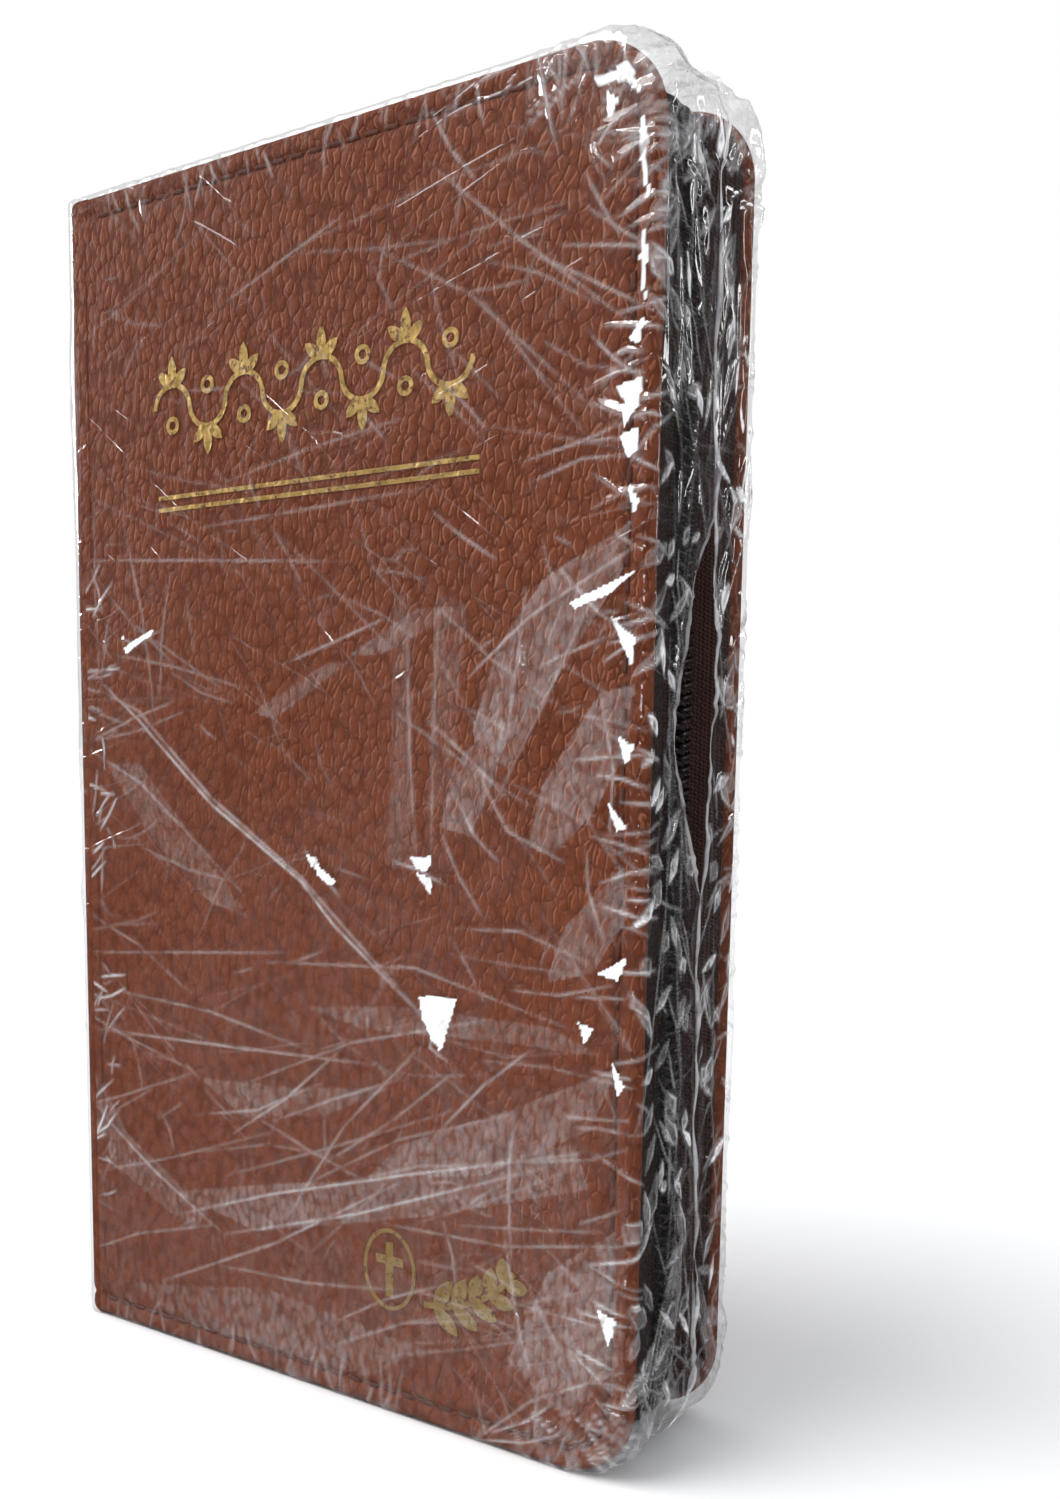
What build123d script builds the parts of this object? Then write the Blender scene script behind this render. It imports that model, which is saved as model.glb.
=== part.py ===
from build123d import *
from math import atan2, degrees
import os

# A compact zip-around Bible, standing upright, still in its clear shrink wrap.
# Frame: +Z up, front cover towards -Y, spine at -X, fore edge at +X.
# The origin is the centre of the bottom of the wrapped book.
# Depths ("d") are measured outwards from the mid-plane of the book, along -Y for
# the front cover. The rear cover is the front one mirrored in that plane.

# ---- Driving dimensions, millimetres ----
COVER_H = 185.0          # cover, bottom edge to top edge
COVER_W = 105.0          # spine to fore edge
COVER_D = 14.8           # mid-plane to the outer face of a cover
CORNER_R = 11.0          # rounded fore-edge corners

WRAP_T = 0.15            # shrink wrap
WRAP_GAP = 0.4           # wrap stands this far off the covers
WRAP_GAP_BOTTOM = 0.1    # the weight presses it flat under the book
WRAP_SEAL_GAP = 0.3      # half width of the slit along the seal line
WRAP_MOUTH_D = 6.2       # half width of the opening over the slider's run
WRAP_MOUTH_X = 40.0      # that opening ends here

LEATHER_T = 1.1          # leather-like cover material
RIM_W = 2.2              # turned-in edge round the boards
BOARD_T = 1.4            # cover board
LINING_T = 0.5           # inside lining
COVER_T = LEATHER_T + BOARD_T + LINING_T

HINGE_X = -48.5          # fold line between spine and covers
HINGE_GAP = 0.15         # half the cut in the leather at the fold line
SPINE_BEND_R = 4.0       # outside bend of the leather round the spine

LEAF_H = 168.0           # height of the leaves
LEAF_FORE_X = 44.5       # fore edge of the leaves
LEAF_HINGE_X = -44.4     # the opened leaves bend here, just off the glued spine
LEAF_CORNER_R = 6.0      # rounded corners of the leaves
FLYLEAF_D = 11.05        # outer face of a flyleaf
FLYLEAF_T = 0.2
SECTION_D = 10.65        # outer face of the first section
SECTION_T = 2.5          # one opened section of leaves
LEAF_GAP = 0.05          # air between sections
BLOCK_SPINE_X = -50.3    # glued spine of the leaves

TAPE_T = 0.5             # woven zip tape
TAPE_RECESS = 3.0        # outer face of the tape below the cover edges
TAPE_FLANGE_T = 0.4      # the tape's sewn border on the lining
TAPE_FLANGE_W = 7.0
TAPE_END_X = -46.0
COIL_T = 1.5             # half coil, height over the tape
COIL_HALF_W = 3.1        # mid-plane to the outer side of the coil
ZIP_MID_GAP = 0.15       # half the gap between the two coils
COIL_START_X = -37.5     # the top run of the coils starts in the slider

STITCH_INSET = 3.3       # seam line from the cover edge
STITCH_PITCH = 3.3
STITCH_L = 2.3
STITCH_W = 0.75
STITCH_T = 0.28

SLIDER_X = -37.0         # middle of the slider where it is parked
SLIDER_L = 9.0
SLIDER_W = 9.4
WING_T = 1.1             # top and bottom plates of the slider
PULL_L = 25.0
PULL_W = 6.2
PULL_T = 0.9
PULL_BAR_R = 0.55

FOIL_T = 0.06            # gold foil on the front cover

# ---- Levels worked out from them ----
Z_BOTTOM = WRAP_T + WRAP_GAP_BOTTOM
Z_TOP = Z_BOTTOM + COVER_H
Z_MID = (Z_BOTTOM + Z_TOP) / 2
FORE_X = COVER_W / 2
SPINE_X = -COVER_W / 2
LINING_D = COVER_D - LEATHER_T - BOARD_T
INNER_D = COVER_D - COVER_T
LEAF_Z = Z_MID - LEAF_H / 2
WRAP_IN_D = COVER_D + WRAP_GAP
WRAP_OUT_D = WRAP_IN_D + WRAP_T
WRAP_TOP_Z = Z_TOP + WRAP_GAP + WRAP_T

os.makedirs("parts", exist_ok=True)


def save(piece, name):
    """Label a finished piece and write it as parts/NAME.step."""
    piece.part.label = name
    export_step(piece.part, f"parts/{name}.step")


def depth_plane(d):
    """The plane parallel to the front cover at depth d, facing outwards."""
    return Plane.XZ.offset(d)


def rounded_panel(x_low, x_high, z_low, z_high, radius):
    """Sketch of a panel with its two fore-edge corners rounded."""
    with BuildSketch() as panel:
        with Locations(((x_low + x_high) / 2, (z_low + z_high) / 2)):
            Rectangle(x_high - x_low, z_high - z_low)
        if radius > 0:
            fillet(panel.vertices().group_by(Axis.X)[-1], radius)
    return panel.sketch


def cover_panel(inset, x_low=HINGE_X + HINGE_GAP):
    """The cover's outline, inset from its three free edges."""
    return rounded_panel(x_low, FORE_X - inset, Z_BOTTOM + inset, Z_TOP - inset,
                         CORNER_R - inset)


def leaf_panel(x_low):
    """The outline of a leaf from x_low to the fore edge."""
    return rounded_panel(x_low, LEAF_FORE_X, LEAF_Z, LEAF_Z + LEAF_H, LEAF_CORNER_R)


def mirrored(piece):
    """The same piece on the rear side of the book."""
    with BuildPart() as rear:
        mirror(piece.part, about=Plane.XZ)
    return rear


# ---- Covers: leather with turned edges, board, lining ----
with BuildPart() as front_leather:
    with BuildSketch(depth_plane(COVER_D)):
        add(cover_panel(0))
    extrude(amount=-COVER_T)
    with BuildSketch(depth_plane(COVER_D - LEATHER_T)):
        add(cover_panel(RIM_W, HINGE_X - 5))
    extrude(amount=-COVER_T, mode=Mode.SUBTRACT)
    outer_edges = front_leather.edges().group_by(Axis.Y)[0].sort_by(Axis.X)[1:]
    fillet(outer_edges, 1.0)
save(front_leather, "front_leather")
rear_leather = mirrored(front_leather)
save(rear_leather, "rear_leather")

with BuildPart() as front_board:
    with BuildSketch(depth_plane(COVER_D - LEATHER_T)):
        add(cover_panel(RIM_W, HINGE_X + 2.5))
    extrude(amount=-BOARD_T)
save(front_board, "front_board")
rear_board = mirrored(front_board)
save(rear_board, "rear_board")

with BuildPart() as front_lining:
    with BuildSketch(depth_plane(LINING_D)):
        add(cover_panel(RIM_W))
    extrude(amount=-LINING_T)
save(front_lining, "front_lining")
rear_lining = mirrored(front_lining)
save(rear_lining, "rear_lining")


# ---- Edge seam: one row of stitches round the three free edges ----
with BuildLine() as seam_line:
    seam_low = Z_BOTTOM + STITCH_INSET
    seam_high = Z_TOP - STITCH_INSET
    seam_x = FORE_X - STITCH_INSET
    seam_start_x = HINGE_X + 2.0
    FilletPolyline(
        (seam_start_x, seam_high),
        (seam_x, seam_high),
        (seam_x, seam_low),
        (seam_start_x, seam_low),
        radius=CORNER_R - STITCH_INSET,
    )
seam = seam_line.wires()[0]
stitch_count = int(seam.length / STITCH_PITCH)

with BuildPart() as front_stitching:
    with BuildSketch(depth_plane(COVER_D)):
        for index in range(stitch_count):
            share = (index + 0.5) / stitch_count
            place = seam @ share
            along = seam % share
            turn = degrees(atan2(along.Y, along.X))
            with Locations(Location((place.X, place.Y, 0), (0, 0, turn))):
                SlotOverall(STITCH_L, STITCH_W)
    extrude(amount=STITCH_T)
save(front_stitching, "front_stitching")
rear_stitching = mirrored(front_stitching)
save(rear_stitching, "rear_stitching")


# ---- Gold foil on the front cover: a vine band, a double rule, a small device ----
def leaf_face(length, width):
    """A pointed leaf along +X from the origin."""
    with BuildSketch() as leaf:
        with BuildLine():
            ThreePointArc((0, 0), (length / 2, width / 2), (length, 0))
            ThreePointArc((length, 0), (length / 2, -width / 2), (0, 0))
        make_face()
    return leaf.sketch


BAND_X = -2.8            # middle of the vine band
BAND_Z = 150.5
LOBE_COUNT = 8
LOBE_L = 7.3
LOBE_H = 3.4
VINE_W = 0.8

with BuildPart() as foil_band:
    band_start = BAND_X - LOBE_COUNT * LOBE_L / 2
    with BuildSketch(depth_plane(COVER_D)):
        with BuildLine() as vine:
            for lobe in range(LOBE_COUNT):
                left = band_start + lobe * LOBE_L
                side = 1 if lobe % 2 == 0 else -1
                ThreePointArc(
                    (left, BAND_Z),
                    (left + LOBE_L / 2, BAND_Z + side * LOBE_H),
                    (left + LOBE_L, BAND_Z),
                )
        trace(vine.wires(), line_width=VINE_W)
        for lobe in range(LOBE_COUNT):
            middle = band_start + (lobe + 0.5) * LOBE_L
            side = 1 if lobe % 2 == 0 else -1
            crest = BAND_Z + side * LOBE_H
            for lean in (-50, 0, 50):
                spray = Location((middle, crest - side * 0.3, 0), (0, 0, side * 90 + lean))
                with Locations(spray):
                    add(leaf_face(4.6 if lean == 0 else 3.8, 1.7))
            with Locations((middle, BAND_Z - side * 2.6)):
                Circle(1.35)
                Circle(0.65, mode=Mode.SUBTRACT)
    extrude(amount=FOIL_T)
save(foil_band, "foil_band")

RULE_X = -2.0
RULE_L = 59.0
with BuildPart() as foil_rules:
    with BuildSketch(depth_plane(COVER_D)):
        with Locations((RULE_X, 137.2), (RULE_X, 135.4)):
            Rectangle(RULE_L, 0.65)
    extrude(amount=FOIL_T)
save(foil_rules, "foil_rules")

DEVICE_X = 13.4          # oval with a plain cross
DEVICE_Z = 22.4
with BuildPart() as foil_device:
    with BuildSketch(depth_plane(COVER_D)):
        with Locations((DEVICE_X, DEVICE_Z)):
            Ellipse(4.7, 6.2)
            Ellipse(4.1, 5.6, mode=Mode.SUBTRACT)
            Rectangle(1.3, 8.4)
        with Locations((DEVICE_X, DEVICE_Z + 1.4)):
            Rectangle(5.0, 1.3)
        with BuildLine() as stem:
            ThreePointArc((19.6, 18.6), (27.5, 20.6), (34.6, 26.6))
        trace(stem.wires(), line_width=0.9)
        for step in range(5):
            share = 0.1 + 0.19 * step
            foot = stem.edges()[0] @ share
            along = stem.edges()[0] % share
            turn = degrees(atan2(along.Y, along.X))
            for lean in (48, -48):
                with Locations(Location((foot.X, foot.Y, 0), (0, 0, turn + lean))):
                    add(leaf_face(5.4 - 0.4 * step, 2.3))
    extrude(amount=FOIL_T)
save(foil_device, "foil_device")


# ---- Spine: leather, stiffener, cloth on the glued backs, headbands ----
with BuildPart() as spine_leather:
    with BuildSketch(Plane.XY.offset(Z_BOTTOM)) as spine_outer:
        with Locations(((SPINE_X + HINGE_X - HINGE_GAP) / 2, 0)):
            Rectangle(HINGE_X - HINGE_GAP - SPINE_X, 2 * COVER_D)
        fillet(spine_outer.vertices().group_by(Axis.X)[0], SPINE_BEND_R - 0.2)
    extrude(amount=COVER_H)
    with BuildSketch(Plane.XY.offset(Z_BOTTOM)) as spine_inner:
        with Locations((SPINE_X + LEATHER_T + 5, 0)):
            Rectangle(10, 2 * (COVER_D - LEATHER_T))
        fillet(spine_inner.vertices().group_by(Axis.X)[0], SPINE_BEND_R - LEATHER_T)
    extrude(amount=COVER_H, mode=Mode.SUBTRACT)
save(spine_leather, "spine_leather")

SPINE_BOARD_T = 0.7
MULL_T = 0.3
with BuildPart() as spine_board:
    with Locations((SPINE_X + LEATHER_T + SPINE_BOARD_T / 2, 0, Z_MID)):
        Box(SPINE_BOARD_T, 20.5, COVER_H - 4)
save(spine_board, "spine_board")

with BuildPart() as spine_cloth:
    with Locations((BLOCK_SPINE_X - MULL_T / 2, 0, Z_MID)):
        Box(MULL_T, 2 * SECTION_D, LEAF_H - 12)
save(spine_cloth, "spine_cloth")

HEADBAND_H = 1.9
HEADBAND_T = 1.5
with BuildPart() as headband_top:
    with Locations((BLOCK_SPINE_X + HEADBAND_T / 2, 0, Z_MID + (LEAF_H + HEADBAND_H) / 2)):
        Box(HEADBAND_T, 2 * SECTION_D, HEADBAND_H)
    fillet(headband_top.edges().filter_by(Axis.Y).sort_by(Axis.Z)[-2:], 0.6)
save(headband_top, "headband_top")

with BuildPart() as headband_bottom:
    mirror(headband_top.part, about=Plane.XY.offset(Z_MID))
save(headband_bottom, "headband_bottom")


# ---- Leaves: the glued block, and the sections that open with the covers ----
def leaf_stack(d_outer, thickness):
    """A stack of leaves from the fold by the spine to the fore edge."""
    with BuildPart() as stack:
        with BuildSketch(depth_plane(d_outer)):
            add(leaf_panel(LEAF_HINGE_X))
        extrude(amount=-thickness)
    return stack


SECOND_D = SECTION_D - SECTION_T - LEAF_GAP
CENTRE_FRONT_D = SECOND_D - SECTION_T - LEAF_GAP
CENTRE_REAR_D = SECOND_D

with BuildPart() as leaf_block:
    glue_end_x = LEAF_HINGE_X - HINGE_GAP
    with Locations(((BLOCK_SPINE_X + glue_end_x) / 2, 0, Z_MID)):
        Box(glue_end_x - BLOCK_SPINE_X, 2 * SECTION_D, LEAF_H)
    with BuildSketch(depth_plane(CENTRE_FRONT_D)):
        add(leaf_panel(glue_end_x))
    extrude(amount=-(CENTRE_FRONT_D + CENTRE_REAR_D))
save(leaf_block, "leaf_block")

front_flyleaf = leaf_stack(FLYLEAF_D, FLYLEAF_T)
save(front_flyleaf, "front_flyleaf")
rear_flyleaf = mirrored(front_flyleaf)
save(rear_flyleaf, "rear_flyleaf")

front_leaves_outer = leaf_stack(SECTION_D, SECTION_T)
save(front_leaves_outer, "front_leaves_outer")
front_leaves_inner = leaf_stack(SECOND_D, SECTION_T)
save(front_leaves_inner, "front_leaves_inner")
rear_leaves = mirrored(front_leaves_outer)
save(rear_leaves, "rear_leaves")


# ---- Zip: two woven tapes, two half coils, end stops ----
TAPE_Z = Z_TOP - TAPE_RECESS          # outer face of the tape's top run
COIL_RECESS = TAPE_RECESS - COIL_T
PARTING_D = 3.5                       # half gap of the tapes ahead of the slider
PARTING_L = 6.0                       # length of the gap's taper

with BuildPart() as front_zip_tape:
    with BuildSketch(depth_plane(INNER_D)):
        add(cover_panel(TAPE_RECESS, TAPE_END_X))
        add(cover_panel(TAPE_RECESS + TAPE_FLANGE_W, TAPE_END_X - 5), mode=Mode.SUBTRACT)
    extrude(amount=-TAPE_FLANGE_T)
    with BuildSketch(depth_plane(INNER_D)):
        add(cover_panel(TAPE_RECESS, TAPE_END_X))
        add(cover_panel(TAPE_RECESS + TAPE_T, TAPE_END_X - 5), mode=Mode.SUBTRACT)
    extrude(amount=-(INNER_D - ZIP_MID_GAP))
    with BuildSketch(Plane.XY.offset(TAPE_Z - 2 * TAPE_T)):
        with BuildLine():
            Polyline(
                (COIL_START_X - 0.3, 0),
                (COIL_START_X - PARTING_L, -PARTING_D),
                (TAPE_END_X - 1, -PARTING_D),
                (TAPE_END_X - 1, 0),
                close=True,
            )
        make_face()
    extrude(amount=3 * TAPE_T, mode=Mode.SUBTRACT)
save(front_zip_tape, "front_zip_tape")
rear_zip_tape = mirrored(front_zip_tape)
save(rear_zip_tape, "rear_zip_tape")

STOP_L = 1.5
COIL_END_X = TAPE_END_X + STOP_L + 0.1
with BuildPart() as front_zip_coil:
    with BuildSketch(depth_plane(COIL_HALF_W)):
        add(cover_panel(COIL_RECESS, COIL_END_X))
        add(cover_panel(TAPE_RECESS, COIL_END_X - 5), mode=Mode.SUBTRACT)
    extrude(amount=-(COIL_HALF_W - ZIP_MID_GAP))
    with Locations((COIL_START_X, -COIL_HALF_W / 2, Z_TOP)):
        Box(40, 10, 10, align=(Align.MAX, Align.CENTER, Align.CENTER), mode=Mode.SUBTRACT)
save(front_zip_coil, "front_zip_coil")
rear_zip_coil = mirrored(front_zip_coil)
save(rear_zip_coil, "rear_zip_coil")

TOP_STOP_X = -44.6
TOP_STOP_W = 1.5
TOP_STOP_H = 1.3
with BuildPart() as front_top_stop:
    top_stop_d = PARTING_D + 0.15 + TOP_STOP_W / 2
    with Locations((TOP_STOP_X, -top_stop_d, TAPE_Z + TOP_STOP_H / 2)):
        Box(STOP_L, TOP_STOP_W, TOP_STOP_H)
    fillet(front_top_stop.edges().group_by(Axis.Z)[-1], 0.3)
save(front_top_stop, "front_top_stop")
rear_top_stop = mirrored(front_top_stop)
save(rear_top_stop, "rear_top_stop")

BOTTOM_STOP_H = 1.4
with BuildPart() as bottom_stop:
    with Locations((TAPE_END_X + STOP_L / 2, 0, Z_BOTTOM + TAPE_RECESS - BOTTOM_STOP_H / 2)):
        Box(STOP_L, 2 * COIL_HALF_W + 0.4, BOTTOM_STOP_H)
    fillet(bottom_stop.edges().group_by(Axis.Z)[0], 0.3)
save(bottom_stop, "bottom_stop")


# ---- Slider: cast body with its divider, crown strap, pull tab ----
WING_TOP_Z = Z_TOP - 0.2
WING_UNDER_Z = WING_TOP_Z - WING_T
LOWER_TOP_Z = TAPE_Z - TAPE_T - 0.2
LOWER_UNDER_Z = LOWER_TOP_Z - WING_T
LIP_D = 3.5                           # inner face of the side lips


def wing_outline():
    """The slider's plate: wide where the tapes part, narrower at its tail."""
    half_l = SLIDER_L / 2
    half_w = SLIDER_W / 2
    with BuildSketch() as wing:
        with BuildLine():
            Polyline(
                (SLIDER_X - half_l, -half_w),
                (SLIDER_X + 1.0, -half_w),
                (SLIDER_X + half_l, -half_w + 0.7),
                (SLIDER_X + half_l, half_w - 0.7),
                (SLIDER_X + 1.0, half_w),
                (SLIDER_X - half_l, half_w),
                close=True,
            )
        make_face()
        fillet(wing.vertices(), 0.5)
    return wing.sketch


with BuildPart() as slider_body:
    with BuildSketch(Plane.XY.offset(LOWER_UNDER_Z)):
        add(wing_outline())
    extrude(amount=WING_T)
    with BuildSketch(Plane.XY.offset(WING_UNDER_Z)):
        add(wing_outline())
    extrude(amount=WING_T)
    fillet(slider_body.edges().group_by(Axis.Z)[-1], 0.35)
    with BuildSketch(Plane.XY.offset(TAPE_Z + 0.15)):
        add(wing_outline())
        with Locations((SLIDER_X, 0)):
            Rectangle(2 * SLIDER_L, 2 * LIP_D, mode=Mode.SUBTRACT)
    extrude(amount=WING_UNDER_Z - TAPE_Z - 0.15)
    with BuildSketch(Plane.XY.offset(LOWER_TOP_Z)):
        with BuildLine():
            Polyline(
                (SLIDER_X - 1.4, 0),
                (SLIDER_X - 3.3, -1.2),
                (SLIDER_X - 4.3, -1.2),
                (SLIDER_X - 4.3, 1.2),
                (SLIDER_X - 3.3, 1.2),
                close=True,
            )
        make_face()
    extrude(amount=WING_UNDER_Z - LOWER_TOP_Z)
save(slider_body, "slider_body")

CROWN_W = 2.2
CROWN_H = 2.4
CROWN_T = 0.9
CROWN_LOW_X = SLIDER_X - 3.5
CROWN_HIGH_X = SLIDER_X + 2.5
with BuildPart() as slider_crown:
    with BuildSketch(Plane.XZ):
        with Locations(((CROWN_LOW_X + CROWN_HIGH_X) / 2, WING_TOP_Z + CROWN_H / 2)):
            Rectangle(CROWN_HIGH_X - CROWN_LOW_X, CROWN_H)
    extrude(amount=CROWN_W / 2, both=True)
    fillet(slider_crown.edges().filter_by(Axis.Y).group_by(Axis.Z)[-1], 1.0)
    with BuildSketch(Plane.XZ):
        with Locations(((CROWN_LOW_X + CROWN_HIGH_X) / 2, WING_TOP_Z)):
            Rectangle(
                CROWN_HIGH_X - CROWN_LOW_X - 2 * CROWN_T,
                CROWN_H - CROWN_T,
                align=(Align.CENTER, Align.MIN),
            )
    extrude(amount=CROWN_W, both=True, mode=Mode.SUBTRACT)
save(slider_crown, "slider_crown")

PULL_Z = WING_TOP_Z + 0.75            # axis of the pull's bar, under the crown
with BuildPart() as pull_tab:
    with BuildSketch(Plane.XY.offset(PULL_Z - PULL_T / 2)) as pull_outline:
        with Locations((SLIDER_X, 0)):
            Rectangle(8, 5.2, align=(Align.MIN, Align.CENTER))
        with Locations((SLIDER_X + 5, 0)):
            Rectangle(PULL_L - 5, PULL_W, align=(Align.MIN, Align.CENTER))
        fillet(pull_outline.vertices().group_by(Axis.X)[-1], 2.7)
        with Locations((SLIDER_X + 0.5, 0)):
            Rectangle(4.1, 3.0, align=(Align.MIN, Align.CENTER), mode=Mode.SUBTRACT)
    extrude(amount=PULL_T)
    fillet(pull_tab.edges().group_by(Axis.Z)[-1].sort_by(Axis.X)[-3:], 0.25)
    with Locations(Location((SLIDER_X, 0, PULL_Z), (90, 0, 0))):
        Cylinder(PULL_BAR_R, 5.2)
save(pull_tab, "pull_tab")


# ---- Clear shrink wrap, slit along its seal line ----
with BuildPart() as wrap_front:
    with BuildSketch(depth_plane(WRAP_OUT_D)):
        add(rounded_panel(HINGE_X + HINGE_GAP, FORE_X + WRAP_GAP + WRAP_T, 0, WRAP_TOP_Z,
                          CORNER_R + WRAP_GAP + WRAP_T))
    extrude(amount=-(WRAP_OUT_D - WRAP_SEAL_GAP))
    with BuildSketch(depth_plane(WRAP_IN_D)):
        add(rounded_panel(HINGE_X - 5, FORE_X + WRAP_GAP, WRAP_T, WRAP_TOP_Z - WRAP_T,
                          CORNER_R + WRAP_GAP))
    extrude(amount=-WRAP_IN_D, mode=Mode.SUBTRACT)
    with Locations((WRAP_MOUTH_X, 0, WRAP_TOP_Z)):
        Box(200, 2 * WRAP_MOUTH_D, 4, align=(Align.MAX, Align.CENTER, Align.CENTER),
            mode=Mode.SUBTRACT)
save(wrap_front, "wrap_front")
wrap_rear = mirrored(wrap_front)
save(wrap_rear, "wrap_rear")

with BuildPart() as wrap_spine:
    spine_wrap_out = SPINE_X - WRAP_GAP - WRAP_T
    spine_wrap_end = HINGE_X - HINGE_GAP
    with BuildSketch() as wrap_spine_outer:
        with Locations(((spine_wrap_out + spine_wrap_end) / 2, 0)):
            Rectangle(spine_wrap_end - spine_wrap_out, 2 * WRAP_OUT_D)
        fillet(wrap_spine_outer.vertices().group_by(Axis.X)[0], SPINE_BEND_R + WRAP_T)
    extrude(amount=WRAP_TOP_Z)
    with BuildSketch(Plane.XY.offset(WRAP_T)) as wrap_spine_inner:
        with Locations((spine_wrap_out + WRAP_T + 5, 0)):
            Rectangle(10, 2 * WRAP_IN_D)
        fillet(wrap_spine_inner.vertices().group_by(Axis.X)[0], SPINE_BEND_R)
    extrude(amount=WRAP_TOP_Z - 2 * WRAP_T, mode=Mode.SUBTRACT)
save(wrap_spine, "wrap_spine")
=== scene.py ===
import math

import bmesh
import bpy
import numpy as np
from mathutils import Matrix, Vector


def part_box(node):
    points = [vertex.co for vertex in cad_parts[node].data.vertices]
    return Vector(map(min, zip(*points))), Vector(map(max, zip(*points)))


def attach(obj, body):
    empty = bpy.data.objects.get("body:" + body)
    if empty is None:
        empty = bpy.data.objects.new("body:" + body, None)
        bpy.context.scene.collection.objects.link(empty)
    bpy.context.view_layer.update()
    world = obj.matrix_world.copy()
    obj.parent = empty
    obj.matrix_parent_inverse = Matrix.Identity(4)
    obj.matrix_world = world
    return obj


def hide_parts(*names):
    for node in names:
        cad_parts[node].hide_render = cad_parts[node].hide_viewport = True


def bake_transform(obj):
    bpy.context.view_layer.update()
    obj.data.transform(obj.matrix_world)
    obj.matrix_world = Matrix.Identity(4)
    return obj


# The looks of a zip-around Bible in shrink wrap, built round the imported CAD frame.
# Shapes are worked out in millimetres and scaled once, when a mesh is made.
# "Depth" is the distance outwards from the book's mid-plane, on either side.

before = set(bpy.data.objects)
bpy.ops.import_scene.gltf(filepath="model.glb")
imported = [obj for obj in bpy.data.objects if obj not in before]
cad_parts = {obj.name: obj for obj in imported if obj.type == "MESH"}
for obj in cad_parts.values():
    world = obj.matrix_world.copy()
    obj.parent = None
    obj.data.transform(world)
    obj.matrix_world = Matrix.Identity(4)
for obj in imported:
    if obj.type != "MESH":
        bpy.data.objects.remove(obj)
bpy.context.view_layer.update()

MM = 0.001
FRONT, REAR = -1, 1            # the side of the mid-plane, as the sign of Y


def box_mm(node):
    """A CAD node's lowest and highest corners, in millimetres."""
    low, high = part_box(node)
    return np.array(low) / MM, np.array(high) / MM


# ---- Places read from the frame ----
leather_low, leather_high = box_mm("front_leather")
LEFT_X, FORE_X = leather_low[0], leather_high[0]
BASE_Z, TOP_Z = leather_low[2], leather_high[2]
MID_Z = (BASE_Z + TOP_Z) / 2
FACE_D = -leather_low[1]       # outer face of a cover
INNER_D = -leather_high[1]     # inner face of a cover
CORNER_R = 11.0                # fore-edge corners of the cover
SEAM_INSET = 3.3               # edge seam, from the cover edge
STITCH_PITCH = 3.3
spine_low, spine_high = box_mm("spine_leather")
SPINE_X, SPINE_END_X = spine_low[0], spine_high[0]
SPINE_R = 3.8                  # bend of the leather round the spine
LEATHER_T = 1.1
wrap_low, wrap_high = box_mm("wrap_front")
WRAP_D = -wrap_low[1]
TAPE_INSET = TOP_Z - box_mm("front_zip_tape")[1][2]
COIL_INSET = TOP_Z - box_mm("front_zip_coil")[1][2]
COIL_HALF_W = -box_mm("front_zip_coil")[0][1]
COIL_PITCH = 1.6


# ---- Shape helpers ----
TUBE_SIDES = 8


def hump(value, middle, width):
    """1 at middle, falling smoothly to nothing a few widths away."""
    return np.exp(-((value - middle) / width) ** 2)


def squarish(wave, power):
    """A sine-like wave with fuller crests."""
    return np.sign(wave) * np.abs(wave) ** power


def raised_bar(phase):
    """A row of rounded bars, one per whole phase, 0 to 1."""
    return np.clip(0.5 + np.cos(2 * math.pi * phase), 0, 1)


def band(value, low, high, soft):
    """1 between low and high, falling to 0 over soft on each side."""
    return np.clip((value - low) / soft + 1, 0, 1) * np.clip((high - value) / soft + 1, 0, 1)


def add_object(name, verts, faces, smooth=True):
    """An object from points in millimetres."""
    mesh = bpy.data.meshes.new(name)
    points = np.asarray(verts, float) * MM
    mesh.from_pydata(points.tolist(), [], [tuple(int(i) for i in f) for f in faces])
    mesh.polygons.foreach_set("use_smooth", np.full(len(mesh.polygons), smooth))
    mesh.update()
    thing = bpy.data.objects.new(name, mesh)
    bpy.context.scene.collection.objects.link(thing)
    return thing


def face_outwards(thing):
    """Turn a closed mesh's faces outwards."""
    work = bmesh.new()
    work.from_mesh(thing.data)
    bmesh.ops.recalc_face_normals(work, faces=work.faces)
    work.to_mesh(thing.data)
    work.free()


def face_towards(thing, way):
    """Turn an open shell so that most of its area looks along way."""
    mesh = thing.data
    areas = np.zeros(len(mesh.polygons))
    normals = np.zeros(len(mesh.polygons) * 3)
    mesh.polygons.foreach_get("area", areas)
    mesh.polygons.foreach_get("normal", normals)
    if (areas * (normals.reshape(-1, 3) @ np.array(way, float))).sum() < 0:
        mesh.flip_normals()


def grid_faces(rows, cols, wrap=False):
    """Quads of a grid whose point (row, col) is row * cols + col."""
    row = np.arange(rows - 1)[:, None]
    col = np.arange(cols if wrap else cols - 1)[None, :]
    after = (col + 1) % cols
    a = row * cols + col
    b = row * cols + after
    return np.stack([a, b, b + cols, a + cols], -1).reshape(-1, 4)


def ring_tube(rings):
    """Points and faces of a tube with capped ends; rings is an array (ring, point, xyz)."""
    count, segments, _ = rings.shape
    faces = grid_faces(count, segments, wrap=True).tolist()
    faces.append(list(reversed(range(segments))))
    faces.append(list(range((count - 1) * segments, count * segments)))
    return rings.reshape(-1, 3), faces


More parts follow.
